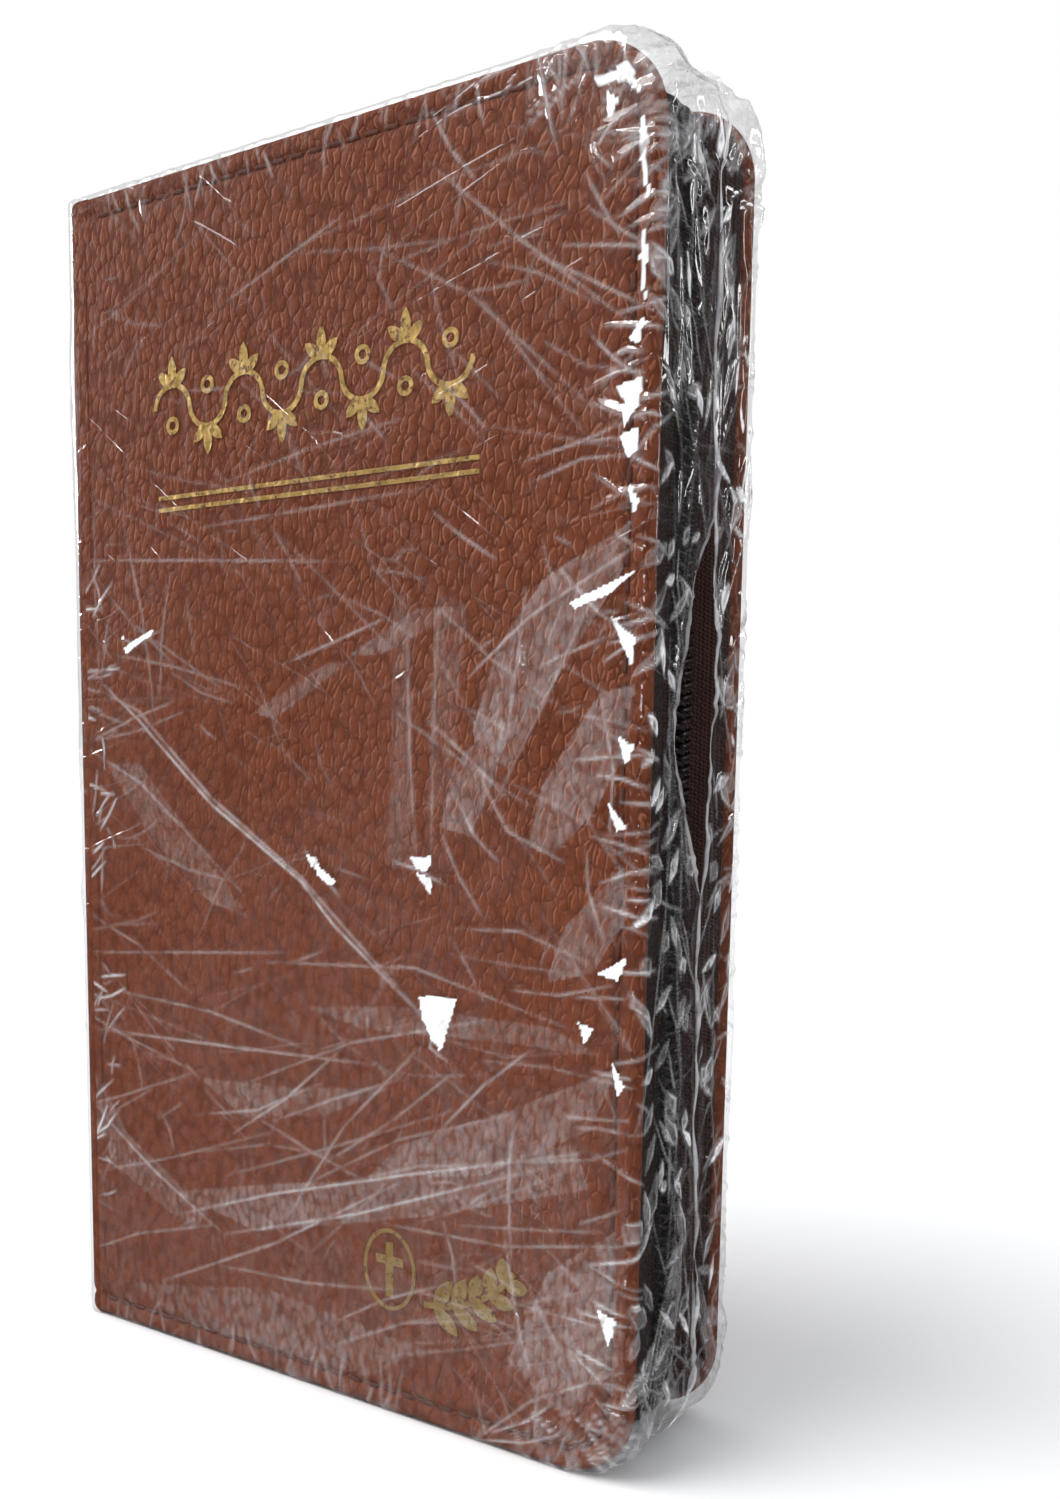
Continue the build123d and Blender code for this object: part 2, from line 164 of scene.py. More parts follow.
def tube(centres, sides, ups, radius_side, radius_up, size=1.0):
    """Points and faces of a tube round centres, with an oval section."""
    turn = np.linspace(0, 2 * math.pi, TUBE_SIDES, endpoint=False)
    ring = (sides[:, None, :] * (np.cos(turn) * radius_side)[None, :, None]
            + ups[:, None, :] * (np.sin(turn) * radius_up)[None, :, None])
    return ring_tube(centres[:, None, :] + ring * np.reshape(size, (-1, 1, 1)))


def closed_strip(name, outer, inner):
    """A closed shell between two grids of points with the same rows and columns."""
    rows, cols, _ = outer.shape
    loop = np.concatenate([outer, inner[:, ::-1]], 1)
    faces = grid_faces(rows, 2 * cols, wrap=True).tolist()
    for base in (0, (rows - 1) * 2 * cols):
        faces += [(base + c, base + c + 1, base + 2 * cols - 2 - c, base + 2 * cols - 1 - c)
                  for c in range(cols - 1)]
    thing = add_object(name, loop.reshape(-1, 3), faces)
    face_outwards(thing)
    return thing


class Pile:
    """Collects many small meshes into one."""

    def __init__(self):
        self.verts, self.faces, self.count = [], [], 0

    def add(self, verts, faces):
        self.verts.append(np.asarray(verts, float))
        self.faces.extend(tuple(i + self.count for i in face) for face in faces)
        self.count += len(verts)

    def build(self, name, smooth=True):
        return add_object(name, np.concatenate(self.verts), self.faces, smooth=smooth)


# ---- The cover's free edge as a path: top run, fore edge, bottom run ----
class EdgePath:
    """The cover's outline, inset, from the spine end of the top to that of the bottom."""

    def __init__(self, inset, start_x):
        self.r = CORNER_R - inset
        self.x0 = start_x
        self.cx = FORE_X - CORNER_R
        self.top_c, self.base_c = TOP_Z - CORNER_R, BASE_Z + CORNER_R
        self.run = self.cx - start_x
        self.arc = self.r * math.pi / 2
        self.side = self.top_c - self.base_c
        self.length = 2 * self.run + 2 * self.arc + self.side

    def at(self, s):
        """x, z and the outward normal at distances s along the path."""
        s = np.asarray(s, float)
        a, b = self.run, self.run + self.arc
        c, d = b + self.side, b + self.side + self.arc
        turn_1 = np.clip((s - a) / self.arc, 0, 1) * math.pi / 2
        turn_2 = np.clip((s - c) / self.arc, 0, 1) * math.pi / 2
        turn = turn_1 + turn_2
        nx, nz = np.sin(turn), np.cos(turn)
        x = self.x0 + np.clip(s, 0, a) - np.clip(s - d, 0, None) + self.r * nx
        z = np.where(s < b, self.top_c, self.top_c - np.clip(s - b, 0, self.side)) + self.r * nz
        return x, z, nx, nz


SEAM = EdgePath(SEAM_INSET, LEFT_X)
FORE_START = SEAM.run + SEAM.arc            # the fore edge's straight part, along the seam
FORE_END = FORE_START + SEAM.side


def edge_distance(x, z):
    """Distance from a point inside the cover to its free edge."""
    dx = FORE_X - x
    dz = np.minimum(TOP_Z - z, z - BASE_Z)
    corner = CORNER_R - np.hypot(np.clip(CORNER_R - dx, 0, None), np.clip(CORNER_R - dz, 0, None))
    return np.where((dx < CORNER_R) & (dz < CORNER_R), corner, np.minimum(dx, dz))


def seam_position(x, z):
    """Distance along the edge seam of the nearest place on it."""
    past_x, over, under = x - SEAM.cx, z - SEAM.top_c, SEAM.base_c - z
    upper = np.arctan2(np.clip(past_x, 0, None), np.clip(over, 1e-6, None)) * SEAM.r
    lower = np.arctan2(np.clip(under, 0, None), np.clip(past_x, 1e-6, None)) * SEAM.r
    on_top = SEAM.run + np.where(past_x < 0, past_x, upper)
    on_side = FORE_START - over
    on_base = FORE_END + np.where(past_x < 0, SEAM.arc - past_x, lower)
    middle = (over < 0) & (under < 0) & (FORE_X - x < np.minimum(TOP_Z - z, z - BASE_Z))
    return np.where(middle, on_side, np.where(z > MID_Z, on_top, on_base))


def panel_grid(inset, step, fine):
    """Rows and columns over the cover's outline, inset; its free edge is the grid's edge."""
    r = CORNER_R - inset
    fore, base, top = FORE_X - inset, BASE_Z + inset, TOP_Z - inset
    swing = np.radians(np.linspace(0, 90, 28))
    middle = np.arange(base + r, top - r, step)[1:]
    z = np.concatenate([base + r - r * np.sin(swing[::-1]), middle, top - r + r * np.sin(swing)])
    right = np.concatenate([fore - r + r * np.cos(swing[::-1]), np.full(len(middle), fore),
                            fore - r + r * np.cos(swing)])
    far = np.arange(LEFT_X, fore - 6, step)
    near = np.arange(fore - 6, fore - 1.6, step * 0.6)
    share = (np.concatenate([far, near, fore - fine[::-1]]) - LEFT_X) / (fore - LEFT_X)
    share = np.unique(np.round(share, 6))
    x = LEFT_X + share[None, :] * (right[:, None] - LEFT_X)
    return x, np.repeat(z[:, None], len(share), 1)


def rim_of_grid(rows, cols):
    """Indices of a grid's top row, right column and bottom row, in EdgePath's order."""
    top = [(rows - 1) * cols + c for c in range(cols)]
    right = [r * cols + cols - 1 for r in range(rows - 2, -1, -1)]
    bottom = [c for c in range(cols - 2, -1, -1)]
    return np.array(top + right + bottom)


def rim_normals(x, z, rows, cols):
    """Outward normals, in the cover's plane, at the points of a grid's rim."""
    nx = np.clip(x - SEAM.cx, 0, None)
    nz = np.clip(z - SEAM.top_c, 0, None) - np.clip(SEAM.base_c - z, 0, None)
    size = np.maximum(np.hypot(nx, nz), 1e-9)
    order = np.arange(len(x))
    on_top = (order < cols - 1) & (x < SEAM.cx)
    on_base = (order > cols + rows - 3) & (x < SEAM.cx)
    nx = np.where(on_top | on_base, 0.0, nx / size)
    return nx, np.where(on_top, 1.0, np.where(on_base, -1.0, nz / size))


class Shell:
    """A panel's grid of points, with rings of points added outside its rim one by one."""

    def __init__(self, x, depth, z, sign):
        self.rows, self.cols = x.shape
        self.sign = sign
        self.verts = [np.stack([x, sign * depth, z], -1).reshape(-1, 3)]
        self.faces = [grid_faces(self.rows, self.cols)]
        self.last = rim_of_grid(self.rows, self.cols)
        self.count = self.rows * self.cols
        self.x, self.z = x.ravel()[self.last], z.ravel()[self.last]
        self.nx, self.nz = rim_normals(self.x, self.z, self.rows, self.cols)

    def ring(self, outward, depth, lowest=-math.inf):
        """The rim again, this far outwards and at this depth."""
        self.verts.append(np.stack([self.x + outward * self.nx,
                                    np.broadcast_to(self.sign * depth, self.x.shape),
                                    np.maximum(self.z + outward * self.nz, lowest)], -1))
        fresh = self.count + np.arange(len(self.x))
        self.faces.append(np.stack([self.last[:-1], self.last[1:], fresh[1:], fresh[:-1]], -1))
        self.last = fresh
        self.count += len(fresh)

    def build(self, name):
        thing = add_object(name, np.concatenate(self.verts), np.concatenate(self.faces))
        face_towards(thing, (0, self.sign, 0))
        return thing


# ---- Node-tree helper ----
class Shade:
    """A small builder for one material's nodes."""

    def __init__(self, name):
        self.material = bpy.data.materials.new(name)
        self.material.use_nodes = True
        self.tree = self.material.node_tree
        self.tree.nodes.clear()
        self.out = self.node("ShaderNodeOutputMaterial")

    def node(self, kind, **settings):
        made = self.tree.nodes.new(kind)
        for key, value in settings.items():
            setattr(made, key, value)
        return made

    def feed(self, socket, value):
        """Link another node's output to a socket, or set the socket's own value."""
        if isinstance(value, bpy.types.NodeSocket):
            self.tree.links.new(value, socket)
        else:
            socket.default_value = value

    def put(self, node, **values):
        """Feed sockets by name, with _ for a space."""
        for key, value in values.items():
            self.feed(node.inputs[key.replace("_", " ")], value)
        return node

    def coords(self, stretch=(1, 1, 1), turn=(0, 0, 0)):
        """Object coordinates, turned and then scaled, in metres."""
        source = self.node("ShaderNodeTexCoord")
        mapping = self.node("ShaderNodeMapping", vector_type="TEXTURE")
        self.put(mapping, Vector=source.outputs["Object"], Rotation=turn,
                 Scale=tuple(1 / part for part in stretch))
        return mapping.outputs["Vector"]

    def parts(self, vector):
        """The X, Y and Z outputs of a vector."""
        made = self.node("ShaderNodeSeparateXYZ")
        self.feed(made.inputs[0], vector)
        return made.outputs

    def noise(self, vector, scale, detail, rough=0.55):
        made = self.node("ShaderNodeTexNoise")
        self.put(made, Vector=vector, Scale=scale, Detail=detail, Roughness=rough)
        return made.outputs["Fac"]

    def drift(self, vector, scale):
        """A noise that differs in X, Y and Z."""
        made = self.node("ShaderNodeTexNoise")
        return self.put(made, Vector=vector, Scale=scale, Detail=2.0).outputs["Color"]

    def cells(self, vector, scale, feature="F1", randomness=1.0):
        made = self.node("ShaderNodeTexVoronoi", feature=feature)
        self.put(made, Vector=vector, Scale=scale, Randomness=randomness)
        return made.outputs["Distance"]

    def math(self, what, a, b=0.0, clamp=False):
        made = self.node("ShaderNodeMath", operation=what, use_clamp=clamp)
        for socket, value in zip(made.inputs, (a, b)):
            self.feed(socket, value)
        return made.outputs[0]

    def vector(self, what, a, b):
        """A sum or difference of vectors, or a vector a scaled by a number b."""
        made = self.node("ShaderNodeVectorMath", operation=what)
        self.feed(made.inputs[0], a)
        self.feed(made.inputs["Scale" if what == "SCALE" else 1], b)
        return made.outputs[0]

    def span(self, value, low, high, to_low=0.0, to_high=1.0):
        """The range from low to high spread over to_low to to_high, and clipped there."""
        made = self.node("ShaderNodeMapRange")
        self.put(made, Value=value, From_Min=low, From_Max=high, To_Min=to_low, To_Max=to_high)
        return made.outputs["Result"]

    def blend(self, share, first, second):
        """The colour first where share is 0, second where it is 1."""
        made = self.node("ShaderNodeMix", data_type="RGBA")
        for index, value in ((0, share), (6, first), (7, second)):
            self.feed(made.inputs[index], value)
        return made.outputs[2]

    def layer(self, share, under, over):
        """The shader under where share is 0, over where it is 1."""
        made = self.node("ShaderNodeMixShader")
        for socket, value in zip(made.inputs, (share, under, over)):
            self.feed(socket, value)
        return made.outputs[0]

    def bump(self, height, strength, distance, **normal):
        """A bump, its height times distance in metres; Normal is one to build on."""
        made = self.node("ShaderNodeBump")
        self.put(made, Height=height, Strength=strength, Distance=distance, **normal)
        return made.outputs["Normal"]

    def finish(self, **values):
        """The material, with a principled surface of these values."""
        return self.done(self.put(self.node("ShaderNodeBsdfPrincipled"), **values).outputs[0])

    def done(self, shader):
        self.feed(self.out.inputs["Surface"], shader)
        return self.material


def tint(red, green, blue):
    """A colour on the 0 to 255 scale, as the linear values that shaders take."""
    parts = np.array([red, green, blue]) / 255.0
    linear = np.where(parts <= 0.04045, parts / 12.92, ((parts + 0.055) / 1.055) ** 2.4)
    return (*(float(c) for c in linear), 1.0)


# ---- Materials ----
PEBBLES = 1000 / 1.7                        # grain cells per metre
# Painted shading of the grain: colour made lighter on one side of each crease and darker on the
# other.
GRAIN_SHIFT = (0.00021, 0.0, -0.00008)      # from a crease's shaded side to its lit side


def grain(shade):
    """Object place, grain place, and the grain's height: 0 in the creases, 1 on a pebble."""
    place = shade.coords()
    centred = shade.vector("SUBTRACT", shade.drift(place, 430.0), (0.5, 0.5, 0.5))
    moved = shade.vector("ADD", shade.coords((1.25, 1.25, 0.75)),
                         shade.vector("SCALE", centred, 0.0016))
    layers = []
    for scale, height in ((PEBBLES, 0.78), (2.5 * PEBBLES, 0.22)):
        away = shade.cells(moved, scale)
        layers.append(shade.span(shade.math("MULTIPLY", away, away), 0.0, 0.5, height, 0.0))
    return place, moved, shade.math("ADD", *layers)


def painted_crease_shading(shade, moved):
    """The grain's creases as a painted lit side (up to 1) and a painted shaded side (down to -1).
    """
    steps = []
    for shift in (GRAIN_SHIFT, (0.0, 0.0, 0.0)):
        edge = shade.cells(shade.vector("ADD", moved, shift), PEBBLES, "DISTANCE_TO_EDGE")
        steps.append(shade.span(edge, 0.0, 0.17))
    return shade.math("SUBTRACT", *steps)


def leather_material():
    """Brown pebbled leather: deepest at the upper fore edge, pressed flatter low by the spine; its
    colour carries painted shade in the creases and a painted lit and shaded side to each crease.
    """
    shade = Shade("brown_leather")
    place, moved, height = grain(shade)
    parts = shade.parts(place)
    across = shade.math("MULTIPLY", parts["X"], 4.0)
    up = shade.math("MULTIPLY", parts["Z"], 3.4)
    patches = shade.math("MULTIPLY", shade.noise(place, 24.0, 3.0), 0.8)
    region = shade.math("ADD", shade.math("ADD", across, up), patches)
    depth = shade.span(region, 0.35, 1.1, 0.38, 1.0)
    body = shade.blend(shade.noise(place, 55.0, 5.0), tint(103, 51, 29), tint(117, 61, 36))
    # Painted shade: the colour is darker down in the grain's creases.
    colour = shade.blend(shade.span(height, 0.1, 0.6), tint(94, 46, 26), body)
    # Painted light: each crease's lit side is painted lighter, a painted highlight, and its shaded
    # side darker, painted shade.
    sides = shade.math("MULTIPLY", painted_crease_shading(shade, moved), depth)
    colour = shade.blend(shade.span(sides, 0.2, 0.75, 0.0, 0.85), colour, tint(164, 106, 78))
    colour = shade.blend(shade.span(sides, -0.8, -0.1, 0.75, 0.0), colour, tint(62, 30, 18))
    normal = shade.bump(shade.math("MULTIPLY", height, depth), 1.0, 0.00032)
    rough = shade.span(height, 0.2, 1.0, 0.55, 0.36)
    return shade.finish(Base_Color=colour, Roughness=rough, Normal=normal,
                        Specular_IOR_Level=0.05)


def foil_material():
    """Stamped gold: worn off the crests of the grain in places."""
    shade = Shade("stamped_gold")
    place, _, height = grain(shade)
    worn = shade.noise(place, 900.0, 5.0, 0.75)
    missing = shade.span(worn, 0.55, 0.61)
    tone = shade.blend(shade.noise(place, 700.0, 3.0), tint(166, 122, 52), tint(238, 206, 130))
    colour = shade.blend(missing, tone, tint(96, 56, 38))
    metal = shade.span(missing, 0.0, 1.0, 0.75, 0.0)
    rough = shade.span(shade.noise(place, 1500.0, 3.0), 0.3, 0.7, 0.24, 0.5)
    normal = shade.bump(height, 0.55, 0.00018)
    return shade.finish(Base_Color=colour, Metallic=metal, Roughness=rough, Normal=normal)


def fibre_material(name, texture, colours, bump, rough, shine=0.5):
    """Thread, paper or board: one noise gives both its colour and its relief."""
    shade = Shade(name)
    fibres = shade.noise(shade.coords(), *texture)
    return shade.finish(Base_Color=shade.blend(fibres, *colours), Roughness=rough,
                        Normal=shade.bump(fibres, *bump), Specular_IOR_Level=shine)


TWILL = 0.0011                  # width of one twill rib, in metres


def tape_material():
    """Dark brown herringbone weave."""
    shade = Shade("woven_zip_tape")
    parts = shade.parts(shade.coords())
    along = shade.math("ADD", parts["X"], parts["Z"])
    twills = []
    for lean in (0.7, -0.7):
        across = shade.math("MULTIPLY", parts["Y"], lean)
        turns = shade.math("MULTIPLY", shade.math("ADD", along, across), 2 * math.pi / TWILL)
        twills.append(shade.math("SINE", turns))
    crossing = shade.span(shade.math("MULTIPLY", *twills), -0.5, 0.7)
    fuzz = shade.noise(shade.coords(), 3200.0, 2.0, 0.5)
    weave = shade.math("MULTIPLY", crossing, shade.span(fuzz, 0.3, 0.7, 0.5, 1.0))
    colour = shade.blend(weave, tint(26, 13, 9), tint(76, 48, 40))
    normal = shade.bump(weave, 0.7, 0.0001)
    return shade.finish(Base_Color=colour, Roughness=0.72, Normal=normal,
                        Specular_IOR_Level=0.1)


def coil_material():
    """Near-black nylon."""
    shade = Shade("nylon_coil")
    place = shade.coords()
    colour = shade.blend(shade.noise(place, 240.0, 3.0), tint(20, 12, 11), tint(38, 25, 23))
    rough = shade.span(shade.noise(place, 900.0, 3.0), 0.3, 0.7, 0.2, 0.36)
    return shade.finish(Base_Color=colour, Roughness=rough, Specular_IOR_Level=0.2)


def metal_material():
    """Cast zip metal with a dark bronze plating, rubbed brighter in places."""
    shade = Shade("bronzed_zip_metal")
    place = shade.coords()
    rubbed = shade.span(shade.noise(place, 260.0, 6.0, 0.6), 0.42, 0.68)
    colour = shade.blend(rubbed, tint(96, 78, 62), tint(176, 150, 118))
    rough = shade.span(shade.noise(place, 1200.0, 4.0), 0.3, 0.7, 0.24, 0.44)
    normal = shade.bump(shade.noise(place, 2400.0, 3.0), 0.12, 0.00006)
    return shade.finish(Base_Color=colour, Metallic=1.0, Roughness=rough, Normal=normal)


def page_material():
    """Page paper, with the cut edges of the pages as ribs."""
    shade = Shade("thin_page_paper")
    mottle = shade.noise(shade.coords(), 420.0, 5.0, 0.6)
    colour = shade.blend(mottle, tint(232, 224, 200), tint(246, 240, 222))
    edges = shade.noise(shade.coords((0.05, 40.0, 0.05)), 260.0, 2.0)
    normal = shade.bump(edges, 0.25, 0.00006)
    return shade.finish(Base_Color=colour, Roughness=0.82, Normal=normal,
                        Specular_IOR_Level=0.3)


def lining_material():
    """Smooth brown lining film with a faint woven emboss."""
    shade = Shade("lining")
    place = shade.coords()
    across = shade.math("SINE", shade.span(shade.noise(place, 1500.0, 2.0), 0, 1, 0, 9.0))
    colour = shade.blend(shade.noise(place, 90.0, 4.0), tint(92, 60, 46), tint(112, 76, 60))
    normal = shade.bump(across, 0.3, 0.00005)
    return shade.finish(Base_Color=colour, Roughness=0.6, Normal=normal)


def cloth_material(name, dark, light):
    """An even weave of two colours."""
    shade = Shade(name)
    weave = shade.cells(shade.coords(), 2200.0, "F1", 0.2)
    colour = shade.blend(shade.span(weave, 0.1, 0.6), light, dark)
    return shade.finish(Base_Color=colour, Roughness=0.9, Normal=shade.bump(weave, 0.5, 0.0001))


def hairlines(shade, stretch, turn, scale, sparse, offset):
    """Thin broken crease lines, mostly along one direction; offset moves where they break."""
    place = shade.coords(stretch, turn)
    warped = shade.node("ShaderNodeMix", data_type="VECTOR")
    for index, value in ((0, 0.0035), (4, place), (5, shade.drift(place, scale * 0.6))):
        shade.feed(warped.inputs[index], value)
    edge = shade.cells(warped.outputs[1], scale, "DISTANCE_TO_EDGE")
    line = shade.span(edge, 0.0, 0.018, 1.0, 0.0)
    where = shade.noise(shade.coords(turn=(offset, offset, 0)), 46.0, 3.0)
    return shade.math("MULTIPLY", line, shade.span(where, sparse, sparse + 0.1))


def film_material():
    """Clear shrink film: gloss, haze in patches, and hairline and white creases; the white of the
    creases and hairlines is partly painted highlight, and some haze patches are painted reflection.
    """
    shade = Shade("clear_shrink_film")
    place = shade.coords()
    crease_white_and_highlight = shade.node("ShaderNodeAttribute", attribute_name="crease").outputs["Fac"]
    veil = shade.node("ShaderNodeAttribute", attribute_name="haze").outputs["Fac"]
    down = hairlines(shade, (1.0, 0.5, 0.14), (0, -0.9, 0), 150.0, 0.53, 0.0)
    level = hairlines(shade, (0.13, 0.5, 1.0), (0, -0.35, 0), 140.0, 0.52, 1.3)
    lines = shade.math("MAXIMUM", down, level)
    streaks = shade.noise(shade.coords((1.0, 1.0, 0.35), (0.0, 0.6, 0.0)), 420.0, 2.0, 0.6)
    mottled = shade.span(shade.cells(shade.coords((1.3, 1.0, 0.7)), 800.0), 0.35, 0.8, 1.0, 0.35)
    patches = shade.math("MULTIPLY", mottled, shade.span(streaks, 0.3, 0.7, 0.55, 1.15))
    # The haze attribute carries the film's milkiness and, in its facets and shards, a painted
    # reflection.
    cloudy = shade.math("MULTIPLY", veil, patches)
    # The crease white is partly the film's stress whitening and partly a painted highlight along
    # its ridges.
    white = shade.math("MULTIPLY", crease_white_and_highlight, shade.span(streaks, 0.28, 0.55, 0.3, 1.0))
    # The hairlines are painted a little white too, partly a painted highlight.
    drawn = shade.math("MULTIPLY", lines, 0.065)
    haze = shade.math("ADD", shade.math("ADD", cloudy, white), drawn, clamp=True)
    ripple = shade.bump(shade.noise(place, 420.0, 2.0, 0.5), 0.35, 0.00016)
    crinkle = shade.bump(lines, 0.5, 0.00012, Normal=ripple)
    clear = shade.node("ShaderNodeBsdfTransparent")
    milky = shade.put(shade.node("ShaderNodeBsdfDiffuse"), Color=(0.96, 0.95, 0.96, 1.0),
                      Normal=crinkle)
    gloss = shade.put(shade.node("ShaderNodeBsdfGlossy"), Roughness=0.07, Normal=crinkle)
    fresnel = shade.put(shade.node("ShaderNodeFresnel"), IOR=1.5, Normal=crinkle)
    shine = shade.math("MINIMUM", shade.math("MULTIPLY", fresnel.outputs[0], 1.15), 0.16)
    under = shade.layer(haze, clear.outputs[0], milky.outputs[0])
    return shade.done(shade.layer(shine, under, gloss.outputs[0]))


LEATHER = leather_material()
FOIL = foil_material()
THREAD = fibre_material("seam_thread", (2600.0, 3.0, 0.6), (tint(72, 38, 27), tint(102, 58, 43)),
                        (0.6, 0.00008), 0.6, 0.1)
TAPE = tape_material()
COIL = coil_material()
METAL = metal_material()
PAGE = page_material()
FLYLEAF = fibre_material("flyleaf_paper", (1400.0, 6.0, 0.7),
                         (tint(225, 216, 194), tint(240, 234, 216)), (0.3, 0.00005), 0.88, 0.25)
BOARD = fibre_material("grey_board", (800.0, 6.0, 0.7), (tint(128, 122, 112), tint(160, 154, 142)),
                       (0.4, 0.0001), 0.92)
LINING = lining_material()
CLOTH = cloth_material("backing_cloth", tint(196, 190, 176), tint(228, 224, 212))
HEADBAND = cloth_material("headband_silk", tint(120, 30, 34), tint(232, 222, 196))
FILM = film_material()

CAD_MATERIALS = {
    "front_board": BOARD, "rear_board": BOARD, "spine_board": BOARD,
    "front_lining": LINING, "rear_lining": LINING,
    "foil_band": FOIL, "foil_rules": FOIL, "foil_device": FOIL,
    "spine_cloth": CLOTH,
    "front_flyleaf": FLYLEAF, "rear_flyleaf": FLYLEAF,
    "front_top_stop": METAL, "rear_top_stop": METAL, "bottom_stop": METAL,
    "slider_body": METAL, "slider_crown": METAL, "pull_tab": METAL,
}
for node_name, material in CAD_MATERIALS.items():
    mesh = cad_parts[node_name].data
    mesh.materials.clear()
    mesh.materials.append(material)


def finish_piece(thing, material, body=None, replaces=()):
    """Material, slot, body and replaced nodes of a new piece."""
    thing.data.materials.append(material)
    if body:
        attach(thing, body)
    if replaces:
        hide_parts(*replaces)


SIDES = (("front", FRONT), ("rear", REAR))


# ---- Cover leather: the face, its stitched rolled edge, and the turn-in ----
EDGE_ROLL = 1.5                 # radius of the leather over the cover edges
# The turned-in leather: how far inside the edge, and how far below the face.
TURN_IN = ((0.0, 1.8), (0.22, 2.4), (0.75, 2.86), (1.5, 3.0), (2.2, 3.0), (2.2, 2.5))


def edge_roll(e):
    """How far leather has rolled down from its face at a distance e from the edge."""
    roll = np.clip(EDGE_ROLL - e, 0, EDGE_ROLL)
    return EDGE_ROLL - np.sqrt(np.maximum(EDGE_ROLL ** 2 - roll ** 2, 0))


def face_depth(x, z):
    """Depth of the leather's outer face at a point of a cover."""
    e = edge_distance(x, z)
    groove = 0.55 * hump(e, SEAM_INSET, 0.6)
    along = seam_position(x, z) / STITCH_PITCH % 1.0
    dimple = 0.16 * hump(np.abs(along - 0.5), 0.36, 0.09) * hump(e, SEAM_INSET, 0.4)
    soft = 0.05 * (np.sin(x / 13.0 + z / 29.0) + np.sin(z / 17.0 - x / 23.0)) - 0.1
    return FACE_D - edge_roll(e) - groove - dimple + soft * np.clip((e - 4.5) / 6, 0, 1)


def cover_leather(side, sign):
    """One cover's leather: its face, its rolled edge and its turn-in."""
    fine = np.array([1.5, 1.2, 0.95, 0.7, 0.5, 0.34, 0.2, 0.1, 0.03, 0.0])
    x, z = panel_grid(0.0, 0.7, fine)
    shell = Shell(x, face_depth(x, z), z, sign)
    for inward, below in TURN_IN:
        shell.ring(-inward, FACE_D - below)
    thing = shell.build(f"{side}_cover_leather")
    finish_piece(thing, LEATHER, f"{side}_cover", [f"{side}_leather"])


def thread_stitch(x, y, z, along, out, length=2.35, width=0.34, height=0.2):
    """One stitch: a thread that rises out of one hole and dives into the next."""
    t = np.linspace(-1, 1, 9)
    along, out = np.array(along, float), np.array(out, float)
    side = np.cross(along, out)
    lift = height * (1 - t ** 4) - 0.12
    centres = (np.array([x, y, z]) + np.outer(t * length / 2, along) + np.outer(lift, out)
               + np.outer(0.05 * np.sin(t * math.pi / 2), side))
    size = np.sqrt(np.clip(1 - (np.abs(t) * 0.93) ** 6, 0.1, 1))
    return tube(centres, side[None], out[None], width, height, size)


def cover_stitching(side, sign):
    """The row of stitches round one cover's free edge."""
    pile = Pile()
    for turn in np.arange(1.5, (SEAM.length - 2.0) / STITCH_PITCH):
        x, z, nx, nz = SEAM.at(turn * STITCH_PITCH)
        pile.add(*thread_stitch(x, sign * (FACE_D - 0.36), z, (nz, 0, -nx), (0, sign, 0)))
    thing = pile.build(f"{side}_edge_stitches")
    face_outwards(thing)
    finish_piece(thing, THREAD, f"{side}_cover", [f"{side}_stitching"])


for side, sign in SIDES:
    cover_leather(side, sign)
    cover_stitching(side, sign)


# ---- Spine leather, and the folds that join it to the covers ----
def spine_section(face_d, left_x, radius, bend_steps=10, flat_step=1.2):
    """Points x, y round the spine from the front end to the rear end, with outward normals."""
    side_x = np.linspace(SPINE_END_X, left_x + radius, 6)
    flat_y = face_d - radius
    back_y = np.append(np.arange(-flat_y, flat_y + 0.01, flat_step), flat_y)
    front = [(x, -face_d, 0.0, -1.0) for x in side_x]
    corner = [(left_x + radius - radius * math.sin(a), -flat_y - radius * math.cos(a),
               -math.sin(a), -math.cos(a))
              for a in np.linspace(0, math.pi / 2, bend_steps)[1:-1]]
    back = [(left_x, y, -1.0, 0.0) for y in back_y]
    half = front + corner
    mirror = [(x, -y, nx, -ny) for x, y, nx, ny in reversed(half)]
    return np.array(half + back + mirror)


def spine_leather():
    """The leather round the spine, with rolled ends."""
    section = spine_section(FACE_D, SPINE_X, SPINE_R)
    levels = np.concatenate([BASE_Z + np.array([0.0, 0.3, 0.8, 1.5, 2.4]),
                             np.arange(BASE_Z + 3.2, TOP_Z - 3.2, 1.0),
                             TOP_Z - np.array([2.4, 1.5, 0.8, 0.3, 0.0])])
    end_gap = np.minimum(levels - BASE_Z, TOP_Z - levels)
    drop = 0.5 * edge_roll(end_gap) + 0.4 * hump(end_gap, SEAM_INSET, 0.7)
    x, y, nx, ny = (column[None] for column in section.T)
    z = np.repeat(levels[:, None], len(section), 1)
    outer, inner = (np.stack([x - below * nx, y - below * ny, z], -1)
                    for below in (drop[:, None], drop[:, None] + LEATHER_T))
    thing = closed_strip("spine_leather_shell", outer, inner)
    finish_piece(thing, LEATHER, "book_block", ["spine_leather"])


